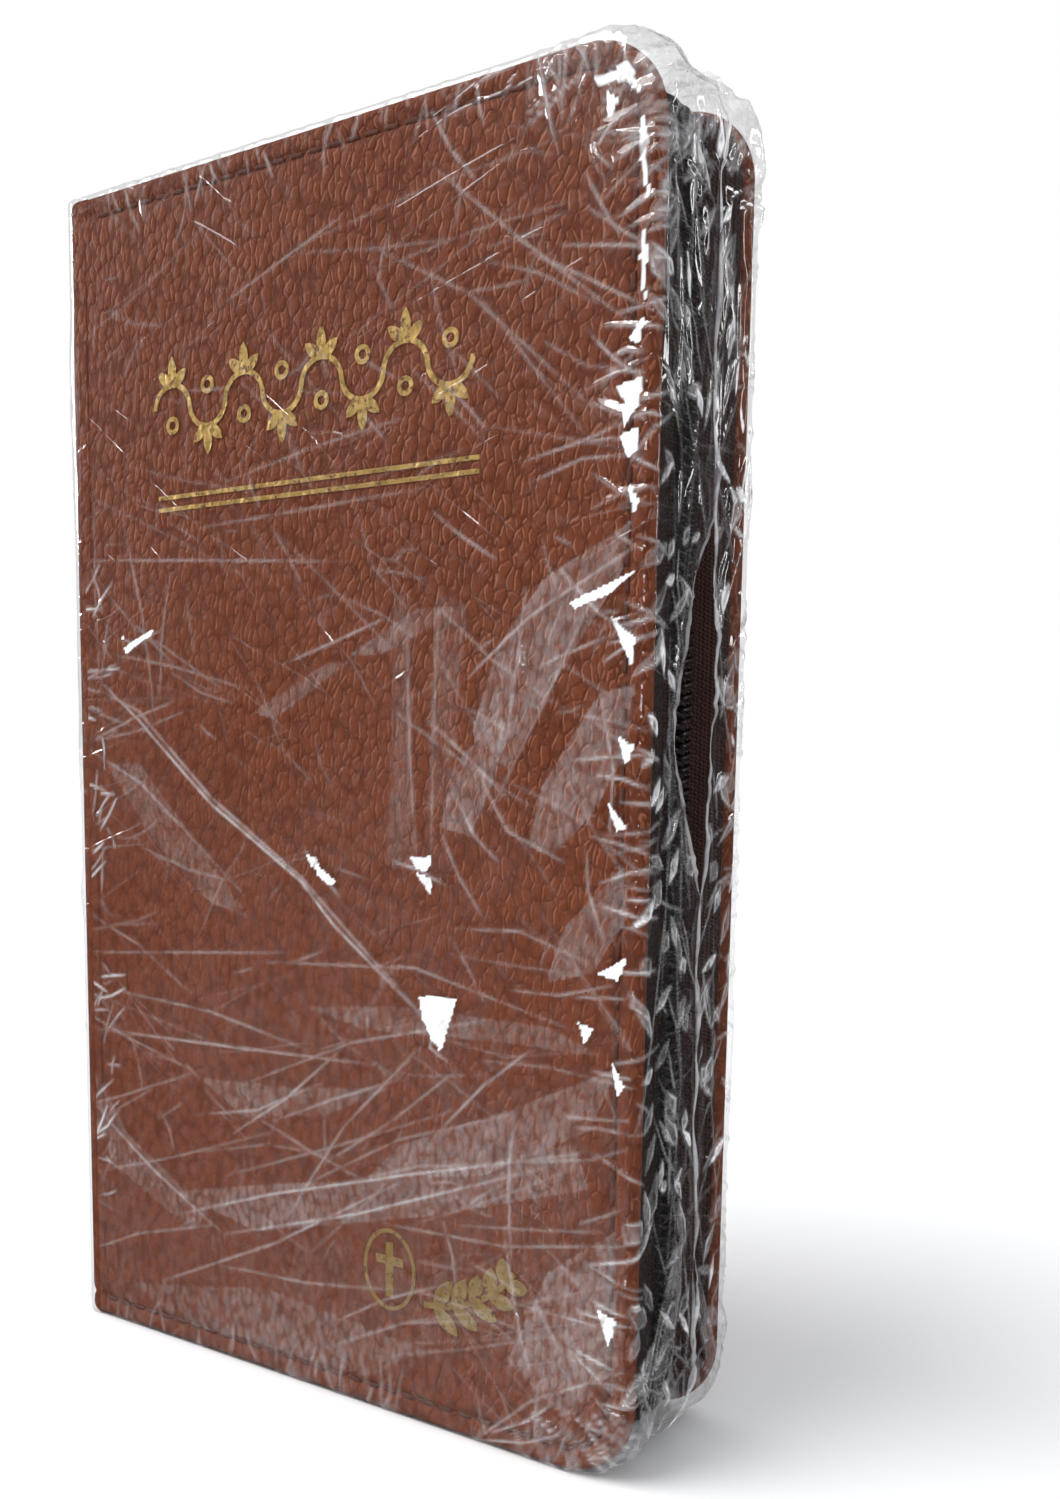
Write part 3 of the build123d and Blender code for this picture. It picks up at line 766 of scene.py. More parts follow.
def fold_strip(side, sign):
    """The flexible leather between the spine and one cover."""
    x = np.linspace(SPINE_END_X - 1.3, LEFT_X + 1.2, 15)
    z = np.arange(BASE_Z + 0.05, TOP_Z, 1.15)
    z = np.append(z, TOP_Z - 0.05)
    gx, gz = np.meshgrid(x, z)
    e = np.minimum(gz - BASE_Z, TOP_Z - gz)
    drop = 0.7 * edge_roll(e) + 0.42 * hump(e, SEAM_INSET, 0.62)
    edge = np.clip(np.minimum(gx - x[0], x[-1] - gx) / 0.35, 0, 1)
    top = np.stack([gx, sign * (FACE_D + 0.03 * edge - 0.02 - drop), gz], -1)
    low = np.stack([gx, np.full(gx.shape, sign * (FACE_D - 0.9)), gz], -1)
    thing = closed_strip(f"{side}_fold", top, low)
    finish_piece(thing, LEATHER)
    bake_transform(thing)


spine_leather()
for side, sign in SIDES:
    fold_strip(side, sign)


# ---- Zip: woven tapes, interlocking coils ----
TAPE_RISE = 2.1                 # the tape comes up towards the cover edge it is sewn to
PARTING_X = (-43.5, -37.8)      # the tapes part towards the spine, ahead of the slider
PARTING_D = (3.5, 0.0)
BORDER_X = -46.0                # start of the tape's border
COIL_STITCH_PITCH = 2.6
CHAIN_X, CHAIN_END_X = -37.5, -44.4     # the coils' first turn on top, and the last one below


def zip_tape(side, sign):
    """The visible strip of woven tape, with its ladder, its herringbone and its stitched row."""
    path = EdgePath(TAPE_INSET, box_mm(f"{side}_zip_tape")[0][0])
    s = np.arange(0, path.length, 0.21)
    depth = np.concatenate([np.arange(INNER_D, 3.3, -0.24), np.arange(3.3, 0.15, -0.45), [0.15]])
    x, z, nx, nz = path.at(s)
    gs, gd = np.meshgrid(s, depth, indexing="ij")
    ladder = 0.2 * raised_bar(gs / 0.85) * band(gd, 4.5, 7.3, 0.4)
    herring = 0.17 * raised_bar(gs / 1.25 + (gd - 10.6) * 0.75) * band(gd, 9.9, 11.3, 0.3)
    ribs = 0.035 * np.cos(2 * math.pi * gd / 0.8) * band(gd, 7.6, 9.6, 0.3)
    relief = ladder + herring + ribs - 0.12 * hump(gd, 3.7, 0.35)
    rise = np.clip((gd - 4.2) / (INNER_D - 4.2), 0, 1)
    rise = TAPE_RISE * rise * rise * (3 - 2 * rise)
    gap = np.interp(x, PARTING_X, PARTING_D, left=PARTING_D[0], right=0.0)
    gap = np.where(nz > 0.99, gap, 0.0)[:, None]
    y = sign * (gap + gd * (INNER_D - gap) / INNER_D)
    x, z, nx, nz = (value[:, None] for value in (x, z, nx, nz))
    outer, inner = (np.stack([x + out * nx, y, z + out * nz], -1)
                    for out in (rise + relief, rise - 0.42))
    thing = closed_strip(f"{side}_tape_gusset", outer, inner)
    finish_piece(thing, TAPE, f"{side}_cover")


def tape_border(side, sign):
    """The sewn border of the tape on the lining, inside the cover."""
    share = np.linspace(0, 1, 420)
    (ox, oz), (ix, iz) = (path.at(share * path.length)[:2] for path in (
        EdgePath(TAPE_INSET + 0.02, BORDER_X), EdgePath(TAPE_INSET + 7.0, BORDER_X)))
    across = np.linspace(0, 1, 12)[None]
    x = ox[:, None] + (ix - ox)[:, None] * across
    z = oz[:, None] + (iz - oz)[:, None] * across
    hemmed = INNER_D - 0.4 + 0.1 * hump(across, 0.8, 0.05)
    top = np.stack([x, np.broadcast_to(sign * hemmed, x.shape), z], -1)
    low = np.stack([x, np.full(x.shape, sign * (INNER_D - 0.01)), z], -1)
    thing = closed_strip(f"{side}_tape_border", top, low)
    finish_piece(thing, TAPE, f"{side}_cover", [f"{side}_zip_tape"])


def zip_coil(side, sign):
    """A flattened nylon spiral whose heads reach just past the middle."""
    path = EdgePath((COIL_INSET + TAPE_INSET) / 2, CHAIN_X)
    turns = int((path.length + CHAIN_X - CHAIN_END_X) / COIL_PITCH)
    phase = 0.0 if sign == FRONT else 0.5
    per_turn = 18
    t = np.arange(turns * per_turn + 1) / per_turn
    angle = 2 * math.pi * t
    head, outer = -0.55, COIL_HALF_W - 0.3
    depth = (head + outer) / 2 + (outer - head) / 2 * np.cos(angle)
    lift = 0.42 * squarish(np.sin(angle), 0.6)
    x, z, nx, nz = path.at((t + phase + 0.06 * np.sin(angle)) * COIL_PITCH)
    centres = np.stack([x + lift * nx, sign * depth, z + lift * nz], -1)
    tangent = np.gradient(centres, axis=0)
    tangent /= np.linalg.norm(tangent, axis=1)[:, None]
    out = np.stack([nx, np.zeros_like(nx), nz], -1)
    side_way = np.cross(tangent, out)
    side_way /= np.linalg.norm(side_way, axis=1)[:, None]
    up = np.cross(side_way, tangent)
    thing = add_object(f"{side}_coil", *tube(centres, side_way, up, 0.36, 0.3))
    face_outwards(thing)
    finish_piece(thing, COIL, f"{side}_cover", [f"{side}_zip_coil"])


def coil_stitches(side, sign):
    """The thread that sews a coil to its tape."""
    path = EdgePath(TAPE_INSET, CHAIN_X)
    pile = Pile()
    for index in range(int(path.length / COIL_STITCH_PITCH) - 1):
        x, z, nx, nz = path.at((index + 0.5) * COIL_STITCH_PITCH)
        pile.add(*thread_stitch(x - 0.05 * nx, sign * 3.7, z - 0.05 * nz, (nz, 0, -nx),
                                (nx, 0, nz), length=2.0, width=0.2))
    thing = pile.build(f"{side}_coil_thread")
    face_outwards(thing)
    finish_piece(thing, TAPE, f"{side}_cover")


for side, sign in SIDES:
    zip_tape(side, sign)
    tape_border(side, sign)
    zip_coil(side, sign)
    coil_stitches(side, sign)


# ---- Leaves: layers of thin pages ----
PAGE_STEP = 0.26                # thickness of one modelled layer of pages
LEAF_CORNER_R = 6.0


def page_outline(left_x, low, high, fore_x, radius):
    """x, z round one layer of pages."""
    bend = np.linspace(0, math.pi / 2, 5)
    lower = [(fore_x - radius + radius * math.sin(a), low + radius - radius * math.cos(a))
             for a in bend]
    upper = [(fore_x - radius + radius * math.cos(a), high - radius + radius * math.sin(a))
             for a in bend]
    return np.array([(left_x, low)] + lower + upper + [(left_x, high)])


def pages(name, pieces, body, nodes, seed):
    """Layers between depths y_low and y_high for each (y_low, y_high, left_x, fore_x, radius)."""
    draw = np.random.default_rng(seed)
    low, high = box_mm("leaf_block")[0][2], box_mm("leaf_block")[1][2]
    pile = Pile()
    for y_low, y_high, left_x, fore_x, radius in pieces:
        count = max(2, round((y_high - y_low) / PAGE_STEP))
        levels = np.linspace(y_low, y_high, count + 1)
        for a, b in zip(levels[:-1], levels[1:]):
            trim = draw.uniform(0, 0.09, 3)
            outline = page_outline(left_x, low + trim[0], high - trim[1], fore_x - trim[2], radius)
            ends = 0.12 * (b - a)
            verts = np.concatenate([
                np.stack([outline[:, 0], np.full(len(outline), y), outline[:, 1]], -1)
                for y in (a + ends, b - ends)])
            n = len(outline)
            faces = [(i, (i + 1) % n, n + (i + 1) % n, n + i) for i in range(n)]
            faces += [tuple(range(n)), tuple(range(2 * n - 1, n - 1, -1))]
            pile.add(verts, faces)
    thing = pile.build(name, smooth=False)
    face_outwards(thing)
    finish_piece(thing, PAGE, body, nodes)


def leaves():
    """The glued block, which reaches the fore edge only between the sections, and the sections."""
    low, high = box_mm("leaf_block")
    spine_x, fore_x = low[0], high[0]
    glue_x = box_mm("front_leaves_outer")[0][0] - 0.15
    centre_front = box_mm("front_leaves_inner")[1][1] + 0.05
    centre_rear = box_mm("rear_leaves")[0][1] - 0.05
    pages("page_block", [
        (low[1], centre_front, spine_x, glue_x, 0.01),
        (centre_front, centre_rear, spine_x, fore_x, LEAF_CORNER_R),
        (centre_rear, high[1], spine_x, glue_x, 0.01),
    ], "book_block", ["leaf_block"], 11)
    for name, node, body, seed in (
            ("front_section_pages_a", "front_leaves_outer", "front_section_a", 12),
            ("front_section_pages_b", "front_leaves_inner", "front_section_b", 13),
            ("rear_section_pages", "rear_leaves", "rear_section", 14)):
        low, high = box_mm(node)
        pages(name, [(low[1], high[1], low[0], fore_x, LEAF_CORNER_R)], body, [node], seed)


def headband(end):
    """A silk headband: a rolled strip wound with thread."""
    low, high = box_mm(f"headband_{end}")
    middle_x, middle_z = (low[0] + high[0]) / 2, (low[2] + high[2]) / 2
    y = np.arange(low[1], high[1], 0.09)
    swell = 0.92 * (0.9 + 0.13 * raised_bar(y / 0.62))[:, None]
    turn = np.linspace(0, 2 * math.pi, 14, endpoint=False)[None]
    rx, rz = (high[0] - low[0]) / 2, (high[2] - low[2]) / 2
    rings = np.stack([middle_x + rx * swell * squarish(np.cos(turn), 0.7),
                      np.repeat(y[:, None], turn.size, 1),
                      middle_z + rz * swell * squarish(np.sin(turn), 0.7)], -1)
    thing = add_object(f"headband_{end}_silk", *ring_tube(rings))
    face_outwards(thing)
    finish_piece(thing, HEADBAND, "book_block", [f"headband_{end}"])


leaves()
for end in ("top", "bottom"):
    headband(end)


# ---- Clear shrink wrap ----
FILM_OUT = 0.43                 # film stands this far outside the cover edges
FILM_UNDER = 0.12               # less under the book, which rests on it
FILM_FACE_D = WRAP_D - 0.15     # film over the faces, before its creases
FILM_BEND = 1.3                 # its bend round the cover edges
FILM_INSET = FILM_BEND - FILM_OUT       # where that bend starts, inside the cover edge
FILM_LOW_Z = 0.03               # nothing of the film goes below the floor
SPINE_FILM_BEND = 0.6           # the spine film's bend over the book's two ends
LOW_CALM, TOP_CALM = 0.93, 0.45     # folds lost under the book, and kept on its top
SEAL_Y = 3.2                    # the heat seal runs down the fore edge, off the middle
SLIT = (104.0, 25.0)            # middle height and half length of the open stretch
MOUTH_X, MOUTH_D = 40.0, 6.3    # the film is open over the slider's run
FRONT_LIP_BACK, REAR_LIP_BACK = 11.5, 1.4    # how far each lip of the slit draws back


class Creases:
    """Ridges in a film, as tents along lines on its flat pattern."""

    def __init__(self):
        self.lines = []

    def add(self, points, height, width, crease_white_and_highlight=0.5, lean=1.0):
        """A ridge along points; lean makes one of its slopes longer than the other."""
        self.lines.append((np.array(points, float), height, width, crease_white_and_highlight, lean))

    def scatter(self, draw, count, region, angles, lengths, heights, widths, crease_whites_and_highlights):
        """Seeded short ridges inside a region of the pattern."""
        (u_low, u_high), (v_low, v_high) = region
        for _ in range(count):
            middle = np.array([draw.uniform(u_low, u_high), draw.uniform(v_low, v_high)])
            angle = math.radians(draw.normal(*angles))
            way = np.array([math.cos(angle), math.sin(angle)])
            half = draw.uniform(*lengths) / 2
            bow = np.array([-way[1], way[0]]) * half * draw.normal(0, 0.08)
            self.add([middle - way * half, middle + bow, middle + way * half],
                     draw.uniform(*heights), draw.uniform(*widths), draw.uniform(*crease_whites_and_highlights),
                     draw.uniform(0.5, 1.6))

    def field(self, u, v):
        """Lift and whiteness at points of the pattern; the whiteness is partly stress whitening and
        partly a painted highlight.
        """
        lift, white = np.zeros_like(u), np.zeros_like(u)
        for points, height, width, crease_white_and_highlight, lean in self.lines:
            reach = width * max(lean, 1.0) + 1.0
            near = ((u > points[:, 0].min() - reach) & (u < points[:, 0].max() + reach)
                    & (v > points[:, 1].min() - reach) & (v < points[:, 1].max() + reach))
            if not near.any():
                continue
            pu, pv = u[near], v[near]
            best = np.full(pu.shape, 1e9)
            side = np.zeros_like(pu)
            share = np.zeros_like(pu)
            steps = np.linalg.norm(np.diff(points, axis=0), axis=1)
            total, done = steps.sum(), 0.0
            for a, b, step in zip(points[:-1], points[1:], steps):
                way = (b - a) / max(step, 1e-6)
                du, dv = pu - a[0], pv - a[1]
                along = du * way[0] + dv * way[1]
                across = -du * way[1] + dv * way[0]
                over = along - np.clip(along, 0, step)
                away = np.hypot(across, over)
                closer = away < best
                best = np.where(closer, away, best)
                side = np.where(closer, across, side)
                share = np.where(closer, (done + np.clip(along, 0, step)) / total, share)
                done += step
            taper = np.clip(4 * share * (1 - share), 0, 1) ** 0.6
            reach = np.where(side > 0, width * lean, width)
            tent = np.clip(1 - best / reach, 0, 1) ** 1.35
            lift[near] = np.maximum(lift[near], height * taper * tent)
            # The white along each crease line is partly stress whitening and partly a painted
            # highlight.
            line = np.exp(-(best / 0.22) ** 2) * taper * crease_white_and_highlight * 0.36
            white[near] = np.maximum(white[near], line)
        return lift, white


# The folds that show across the front face: x and z on the cover, height, width and whiteness,
# which is partly a painted highlight, and for some how much longer one slope is than the other.
FRONT_FOLDS = (
    ([(-50, 99), (-36, 93), (-24, 84), (-14, 76)], 0.5, 6, 0.5, 1.3),
    ([(-40, 116), (-36, 115), (-31, 117)], 0.7, 2.5, 0.9),
    ([(16.4, 119), (17.0, 100), (18.5, 80)], 0.6, 3.4, 0.4, 1.3),
    ([(21.5, 118), (21.0, 98), (20.6, 82)], 0.5, 3.2, 0.35, 0.8),
    ([(14, 83), (19, 82), (23, 80)], 0.8, 2.4, 1.0),
    ([(-2, 84), (1, 81), (5, 77)], 0.8, 2.2, 1.0),
    ([(19, 64), (22, 61), (21, 57), (24, 55)], 0.9, 2.8, 1.0),
    ([(-30, 22), (-8, 30), (18, 38), (46, 46)], 0.8, 6, 0.8, 1.6),
    ([(-48, 51), (-20, 52), (12, 53)], 0.6, 5, 0.7, 1.4),
    ([(-49, 38), (-34, 29), (-19, 21)], 0.7, 5, 0.6, 1.5),
    ([(-19, 21), (8, 30), (40, 43)], 0.6, 5, 0.7, 0.7),
    ([(-35, 9), (-8, 22), (17, 37)], 0.7, 6, 0.6, 1.4),
    ([(-50, 64), (-28, 66), (-5, 68)], 0.4, 4, 0.5),
    ([(-12, 66), (18, 68), (44, 62)], 0.4, 4, 0.5),
    ([(19, 176), (34, 163), (50, 150)], 0.16, 4, 0.6, 0.7),
    ([(8, 168), (26, 158), (48, 138)], 0.14, 4, 0.4, 1.4),
    ([(5, 172), (-6, 168), (-17, 164)], 0.16, 3, 0.5),
    ([(-50, 129), (-20, 127), (7, 125)], 0.35, 4, 0.5),
    ([(-24, 132), (0, 133), (20, 134)], 0.3, 3, 0.4),
    ([(-6, 111), (4, 114), (13, 117)], 0.5, 3, 0.7),
    ([(-49, 99), (-38, 103), (-28, 106)], 0.4, 3, 0.5),
    ([(26, 108), (36, 116), (51, 124)], 0.6, 4, 0.8),
    ([(30, 90), (38, 104), (46, 120)], 0.7, 5, 0.5, 0.8),
    ([(28, 96), (33, 88), (42, 84)], 0.5, 4, 0.6),
    ([(40, 122), (46, 116), (51, 113)], 0.6, 2.5, 1.0),
    ([(44, 142), (48, 140), (52, 139)], 0.6, 2.2, 1.0),
)


def front_creases():
    """The long diagonal, which is a double line, and the other folds of the front face."""
    made = Creases()
    for shift, height, crease_white_and_highlight in ((0, 1.0, 1.3), (1.4, 0.7, 0.8)):
        made.add([(-46 - shift, 110 - shift), (-36, 103 + shift), (-20, 90 + 0.7 * shift),
                  (-2, 79 + 0.4 * shift), (4, 73 + shift), (21, 60)], height, 7, crease_white_and_highlight, 1.5)
    for fold in FRONT_FOLDS:
        made.add(*fold)
    return made


# Seeded folds, one row each: how many, the x and z they lie in, their mean angle and its
# spread, lengths, heights, widths and whiteness. More of them low down and by the fore edge.
WIDE_FOLDS = (
    (34, ((-46, 50), (6, 60)), (18, 16), (18, 52), (0.15, 0.5), (2.5, 6.5), (0.15, 0.6)),
    (26, ((-46, 50), (50, 125)), (-24, 30), (14, 40), (0.1, 0.34), (2, 5.5), (0.1, 0.45)),
    (22, ((-46, 50), (115, 180)), (-34, 26), (14, 48), (0.03, 0.13), (2, 5), (0.08, 0.4)),
    (46, ((22, 51), (10, 178)), (-38, 32), (7, 22), (0.12, 0.42), (1.2, 3.6), (0.2, 0.8)),
)
FINE_FOLDS = (
    (120, ((-48, 51), (3, 183)), (0, 60), (3, 11), (0.04, 0.16), (0.7, 2.0), (0.1, 0.45)),
    (44, ((-49, -43), (20, 130)), (35, 35), (3, 9), (0.1, 0.3), (0.7, 1.8), (0.5, 1.6)),
)


def face_scatter(made, draw, lively):
    """Lesser folds all over a face; lively makes the wide ones higher."""
    for count, region, angles, lengths, (low, high), widths, crease_whites_and_highlights in WIDE_FOLDS:
        made.scatter(draw, count, region, angles, lengths, (low, high * lively), widths, crease_whites_and_highlights)
    for row in FINE_FOLDS:
        made.scatter(draw, *row)


# The same for the edges: first and last place along the seam, then how many, their distance
# from the face's edge, mean angle and spread, lengths, heights, widths and whiteness.
EDGE_FOLDS = (
    (FORE_START - 8, FORE_END + 8,
     (70, (-5, 3), (84, 17), (3, 12), (0.12, 0.45), (0.6, 1.6), (0.4, 1.2))),
    (4, FORE_START, (60, (-4, 3), (95, 22), (3, 9), (0.1, 0.35), (0.8, 2.2), (0.2, 0.8))),
    (FORE_END, SEAM.length - 4,
     (60, (-4, 3), (85, 22), (3, 9), (0.1, 0.35), (0.8, 2.2), (0.2, 0.8))),
    (FORE_START - 5, FORE_END + 5,
     (18, (3, 17), (0, 14), (16, 60), (0.2, 0.6), (1.2, 3.4), (0.2, 0.8))),
    (FORE_START + 8, FORE_END - 20,
     (24, (6, 17), (24, 12), (6, 24), (0.15, 0.4), (0.8, 2.0), (0.3, 1.0))),
    (FORE_START - 5, FORE_END + 5,
     (18, (1, 17), (20, 40), (3, 12), (0.12, 0.45), (0.7, 2.0), (0.5, 1.0))),
)


def edge_creases(draw):
    """Gathers over the cover edges and down the gap; s along the edge, v away from the face.

    v is negative on the face, 0 where the film leaves it, and about 15 at the middle.
    """
    made = Creases()
    for low, high, (count, *row) in EDGE_FOLDS:
        made.scatter(draw, count, ((low, high), row[0]), *row[1:])
    for corner, count in ((SEAM.run + SEAM.arc / 2, 46), (FORE_END + SEAM.arc / 2, 40)):
        made.scatter(draw, count, ((corner - 11, corner + 11), (-7, 15)), (80, 28), (5, 18),
                     (0.3, 1.0), (0.7, 2.2), (0.5, 1.0))
    start = FORE_END - 27
    for spread in np.linspace(-15, 11, 12):
        made.add([(start + 0.4 * abs(spread), 15.5), (start + 14, 15.5 - 0.35 * abs(spread)),
                  (FORE_END + 8 + draw.uniform(-4, 4), 8.5 + spread * 0.62)],
                 draw.uniform(0.4, 0.9), draw.uniform(0.9, 1.8), draw.uniform(0.4, 0.9))
    return made


def film_lips(s, sign):
    """How far past the book's middle one side's film reaches, and how open the slit is."""
    x, z, _, nz = SEAM.at(s)
    on_fore = np.clip(1 - np.abs(nz) * 1.5, 0, 1)
    seal = (SEAL_Y + 0.9 * np.sin(z / 14.0) + 0.35 * np.sin(z / 4.1)) * on_fore
    slit = on_fore * np.clip(1 - np.abs((z - SLIT[0]) / SLIT[1]), 0, 1) ** 0.75
    mouth = (nz > 0.5) * np.clip((MOUTH_X + 3.0 - x) / 5.0, 0, 1)
    ragged = 0.25 * np.sin(s / 1.7) + 0.3 * np.sin(s / 0.83 + 1.0)
    reach = seal - slit * FRONT_LIP_BACK if sign == FRONT else -seal - slit * REAR_LIP_BACK
    reach = reach - slit * np.abs(ragged)
    return reach * (1 - mouth) - (MOUTH_D + 0.3 * ragged) * mouth, slit


def film_lift_limit(x):
    """Film lies flat where it meets the hinge."""
    return np.clip((x - LEFT_X) / 4.0, 0, 1)


def finish_film(thing, creases, haze, body, node):
    """Give a film its whiteness and milkiness per point, its material, slot and body."""
    for name, values in (("crease", creases), ("haze", haze)):
        layer = thing.data.attributes.new(name, "FLOAT", "POINT")
        layer.data.foreach_set("value", np.asarray(values, np.float32))
    thing.visible_shadow = False
    finish_piece(thing, FILM, body, [node])


def film_face(x, z, sign, face_lines, edge_lines, pucker):
    """How far the film stands off a cover's face, and how white it is: crease white, partly a
    painted highlight, and painted glints.
    """
    e = edge_distance(x, z)
    lift, white = face_lines.field(x, z)
    edge_lift, edge_white_and_highlight = edge_lines.field(seam_position(x, z), FILM_INSET - e)
    near_edge = np.clip((14 - e) / 6, 0, 1)
    wave = 0.1 * (1 + np.sin(x / 7.1 + pucker[0]) * np.sin(z / 9.3 + pucker[1]))
    lift = np.maximum(lift, edge_lift * near_edge) + wave * np.clip(e / 6, 0, 1)
    lift = lift * film_lift_limit(x) - 0.12 * np.clip((e - 2) / 5, 0, 1)
    white = np.maximum(white, edge_white_and_highlight * near_edge)
    # Painted glints: the crushed facets are painted white as a painted highlight.
    return lift, np.maximum(white, 1.5 * painted_face_glints(x, z, sign))


# The rings of a film's skirt: round the bend by angle, down the side by share, out at the seal.
SKIRT = ([("bend", a) for a in np.linspace(0, math.pi / 2, 7)[1:]]
         + [("side", share) for share in np.linspace(0, 1, 56)[1:]]
         + [("fin", 0.35), ("fin", 0.8)])


def film_skirt(shell, edge_lines, shards):
    """Add the rings from a cover's face to the seal; gives their whiteness and milkiness."""
    s, nx, nz = seam_position(shell.x, shell.z), shell.nx, shell.nz
    reach, slit = film_lips(s, shell.sign)
    under = np.clip(-nz, 0, 1)
    slant = np.clip(2 * np.abs(nx * nz), 0, 1)
    high_corner, low_corner = slant * (nz > 0), slant * (nz < 0)
    side_top = FILM_FACE_D - FILM_BEND
    whites_and_highlights, hazes = [], []
    for kind, amount in SKIRT:
        if kind == "bend":
            push_out, push_side = math.sin(amount), math.cos(amount)
            depth = np.full(len(s), side_top + FILM_BEND * push_side)
            v = np.full(len(s), FILM_BEND * amount)
        else:
            push_out, push_side = 1.0, 0.0
            depth = side_top - (reach + side_top) * (amount if kind == "side" else 1.0)
            v = FILM_BEND * math.pi / 2 + side_top - depth
        outward = FILM_BEND * push_out + (FILM_UNDER - FILM_OUT) * under ** 2
        lift, white = edge_lines.field(s, v)
        lift = lift * film_lift_limit(shell.x) * (1 - LOW_CALM * under)
        lift = lift * np.where(nz > 0.9, TOP_CALM, 1.0)
        if kind != "bend":
            hollow = 1 - np.clip(np.abs(depth) / side_top, 0, 1) ** 2
            outward = outward - (0.55 + 0.35 * slit) * hollow * (1 - under)
        if kind == "fin":
            tall = amount * (0.6 + 0.4 * np.sin(s / 2.3) * np.sin(s / 5.9))
            outward = outward + tall * np.clip(nx * 1.4, 0, 1)
            # The seal fin is painted white, partly the seal's own whiteness and partly a painted
            # highlight.
            white = np.maximum(white, 0.75 if shell.sign == REAR else 0.5)
        crumple = 0.8 + 0.12 * np.sin(s / 1.3 + v / 2.1) + 0.08 * np.sin(s / 0.6 - v / 1.7)
        crumple = crumple * np.clip(v / 3.5, 0, 1)
        outward = outward + crumple * (2.7 * high_corner + 1.3 * low_corner)
        shell.ring(outward + lift * push_out, depth + lift * push_side, FILM_LOW_Z)
        whites_and_highlights.append(white)
        hazes.append(film_haze_side(s, v, high_corner + 0.6 * low_corner, shards))
    return whites_and_highlights, hazes


def wrap_side(side, sign, face_lines, seed):
    """The film over one cover: its face, its bends, and its skirt down to the seal."""
    draw = np.random.default_rng(seed)
    face_scatter(face_lines, draw, 1.0 if sign == FRONT else 1.3)
    edge_lines = edge_creases(draw)
    shards = gap_shards(draw)
    # The shards' edges become white crease lines, partly a painted highlight.
    for corners, level in shards:
        edge_lines.add(corners[:3], 0.3, 0.9, 0.7 + 2.2 * level)
        edge_lines.add([corners[2], corners[3], corners[0]], 0.2, 0.7, 0.4 + 1.2 * level)
    x, z = panel_grid(FILM_INSET, 0.3 if sign == FRONT else 0.4, np.array([1.2, 0.8, 0.4, 0.0]))
    lift, white = film_face(x, z, sign, face_lines, edge_lines, draw.normal(0, 1, 2))
    shell = Shell(x, FILM_FACE_D + lift, z, sign)
    whites_and_highlights, hazes = film_skirt(shell, edge_lines, shards)
    thing = shell.build(f"{side}_film")
    finish_film(thing, np.concatenate([white.ravel(), *whites_and_highlights]),
                np.concatenate([film_haze_face(x, z, sign).ravel(), *hazes]),
                f"{side}_cover", f"wrap_{side}")


def cloud(u, v, size, seed):
    """A smooth field from 0 to 1, from a few seeded waves."""
    draw = np.random.default_rng(seed)
    total = np.zeros_like(u)
    for _ in range(7):
        angle, phase = draw.uniform(0, math.pi), draw.uniform(0, 2 * math.pi)
        wave = size * draw.uniform(0.6, 1.8)
        total += np.sin((u * math.cos(angle) + v * math.sin(angle)) / wave + phase)
    return np.clip(0.5 + total / 6, 0, 1)


def inside(x, z, corners):
    """1 inside a polygon, 0 outside."""
    hit = np.zeros(x.shape, bool)
    for (xa, za), (xb, zb) in zip(corners, corners[1:] + corners[:1]):
        crosses = (za > z) != (zb > z)
        at = xa + (z - za) * (xb - xa) / np.where(zb == za, 1e-9, zb - za)
        hit ^= crosses & (x < at)
    return hit.astype(float)


# Flat facets where the film lies off the leather, painted milky as a painted reflection: corners,
# and how milky.
FRONT_FACETS = (
    ([(27, 101), (31, 112), (38, 121), (50, 127), (49, 121), (43, 112), (37, 103), (33, 96)], 0.12),
    ([(22, 88), (24, 96), (31, 104), (33, 101), (30, 93), (27, 87)], 0.11),
    ([(36, 86), (38, 94), (46, 106), (51, 107), (50, 98), (45, 90), (40, 85)], 0.12),
    ([(39, 68), (42, 76), (50, 84), (51, 78), (46, 70)], 0.10),
    ([(-12, 104), (2, 111), (6, 111), (-8, 103)], 0.11),
    ([(6, 112), (18, 118), (24, 118), (22, 116), (12, 112)], 0.09),
    ([(14, 120), (17, 120), (18, 82), (13, 82)], 0.05),
    ([(21, 120), (26, 118), (24, 92), (20, 90)], 0.045),
    ([(-30, 26), (-6, 32), (20, 38), (44, 47), (46, 41), (20, 32), (-12, 23)], 0.09),
    ([(10, 36), (30, 40), (46, 49), (50, 58), (34, 50), (16, 42)], 0.10),
    ([(-49, 44), (-40, 34), (-22, 24), (-26, 20), (-44, 28), (-50, 36)], 0.07),
    ([(-24, 46), (-6, 47), (14, 50), (2, 44), (-14, 41)], 0.07),
    ([(-2, 60), (14, 62), (40, 62), (48, 59), (30, 59), (8, 58)], 0.07),
    ([(34, 14), (40, 28), (50, 36), (51, 18), (44, 8)], 0.12),
    ([(-40, 8), (-10, 14), (20, 12), (10, 5), (-30, 4)], 0.06),
    ([(-44, 96), (-36, 96), (-24, 84), (-14, 74), (-20, 74), (-34, 84)], 0.06),
)

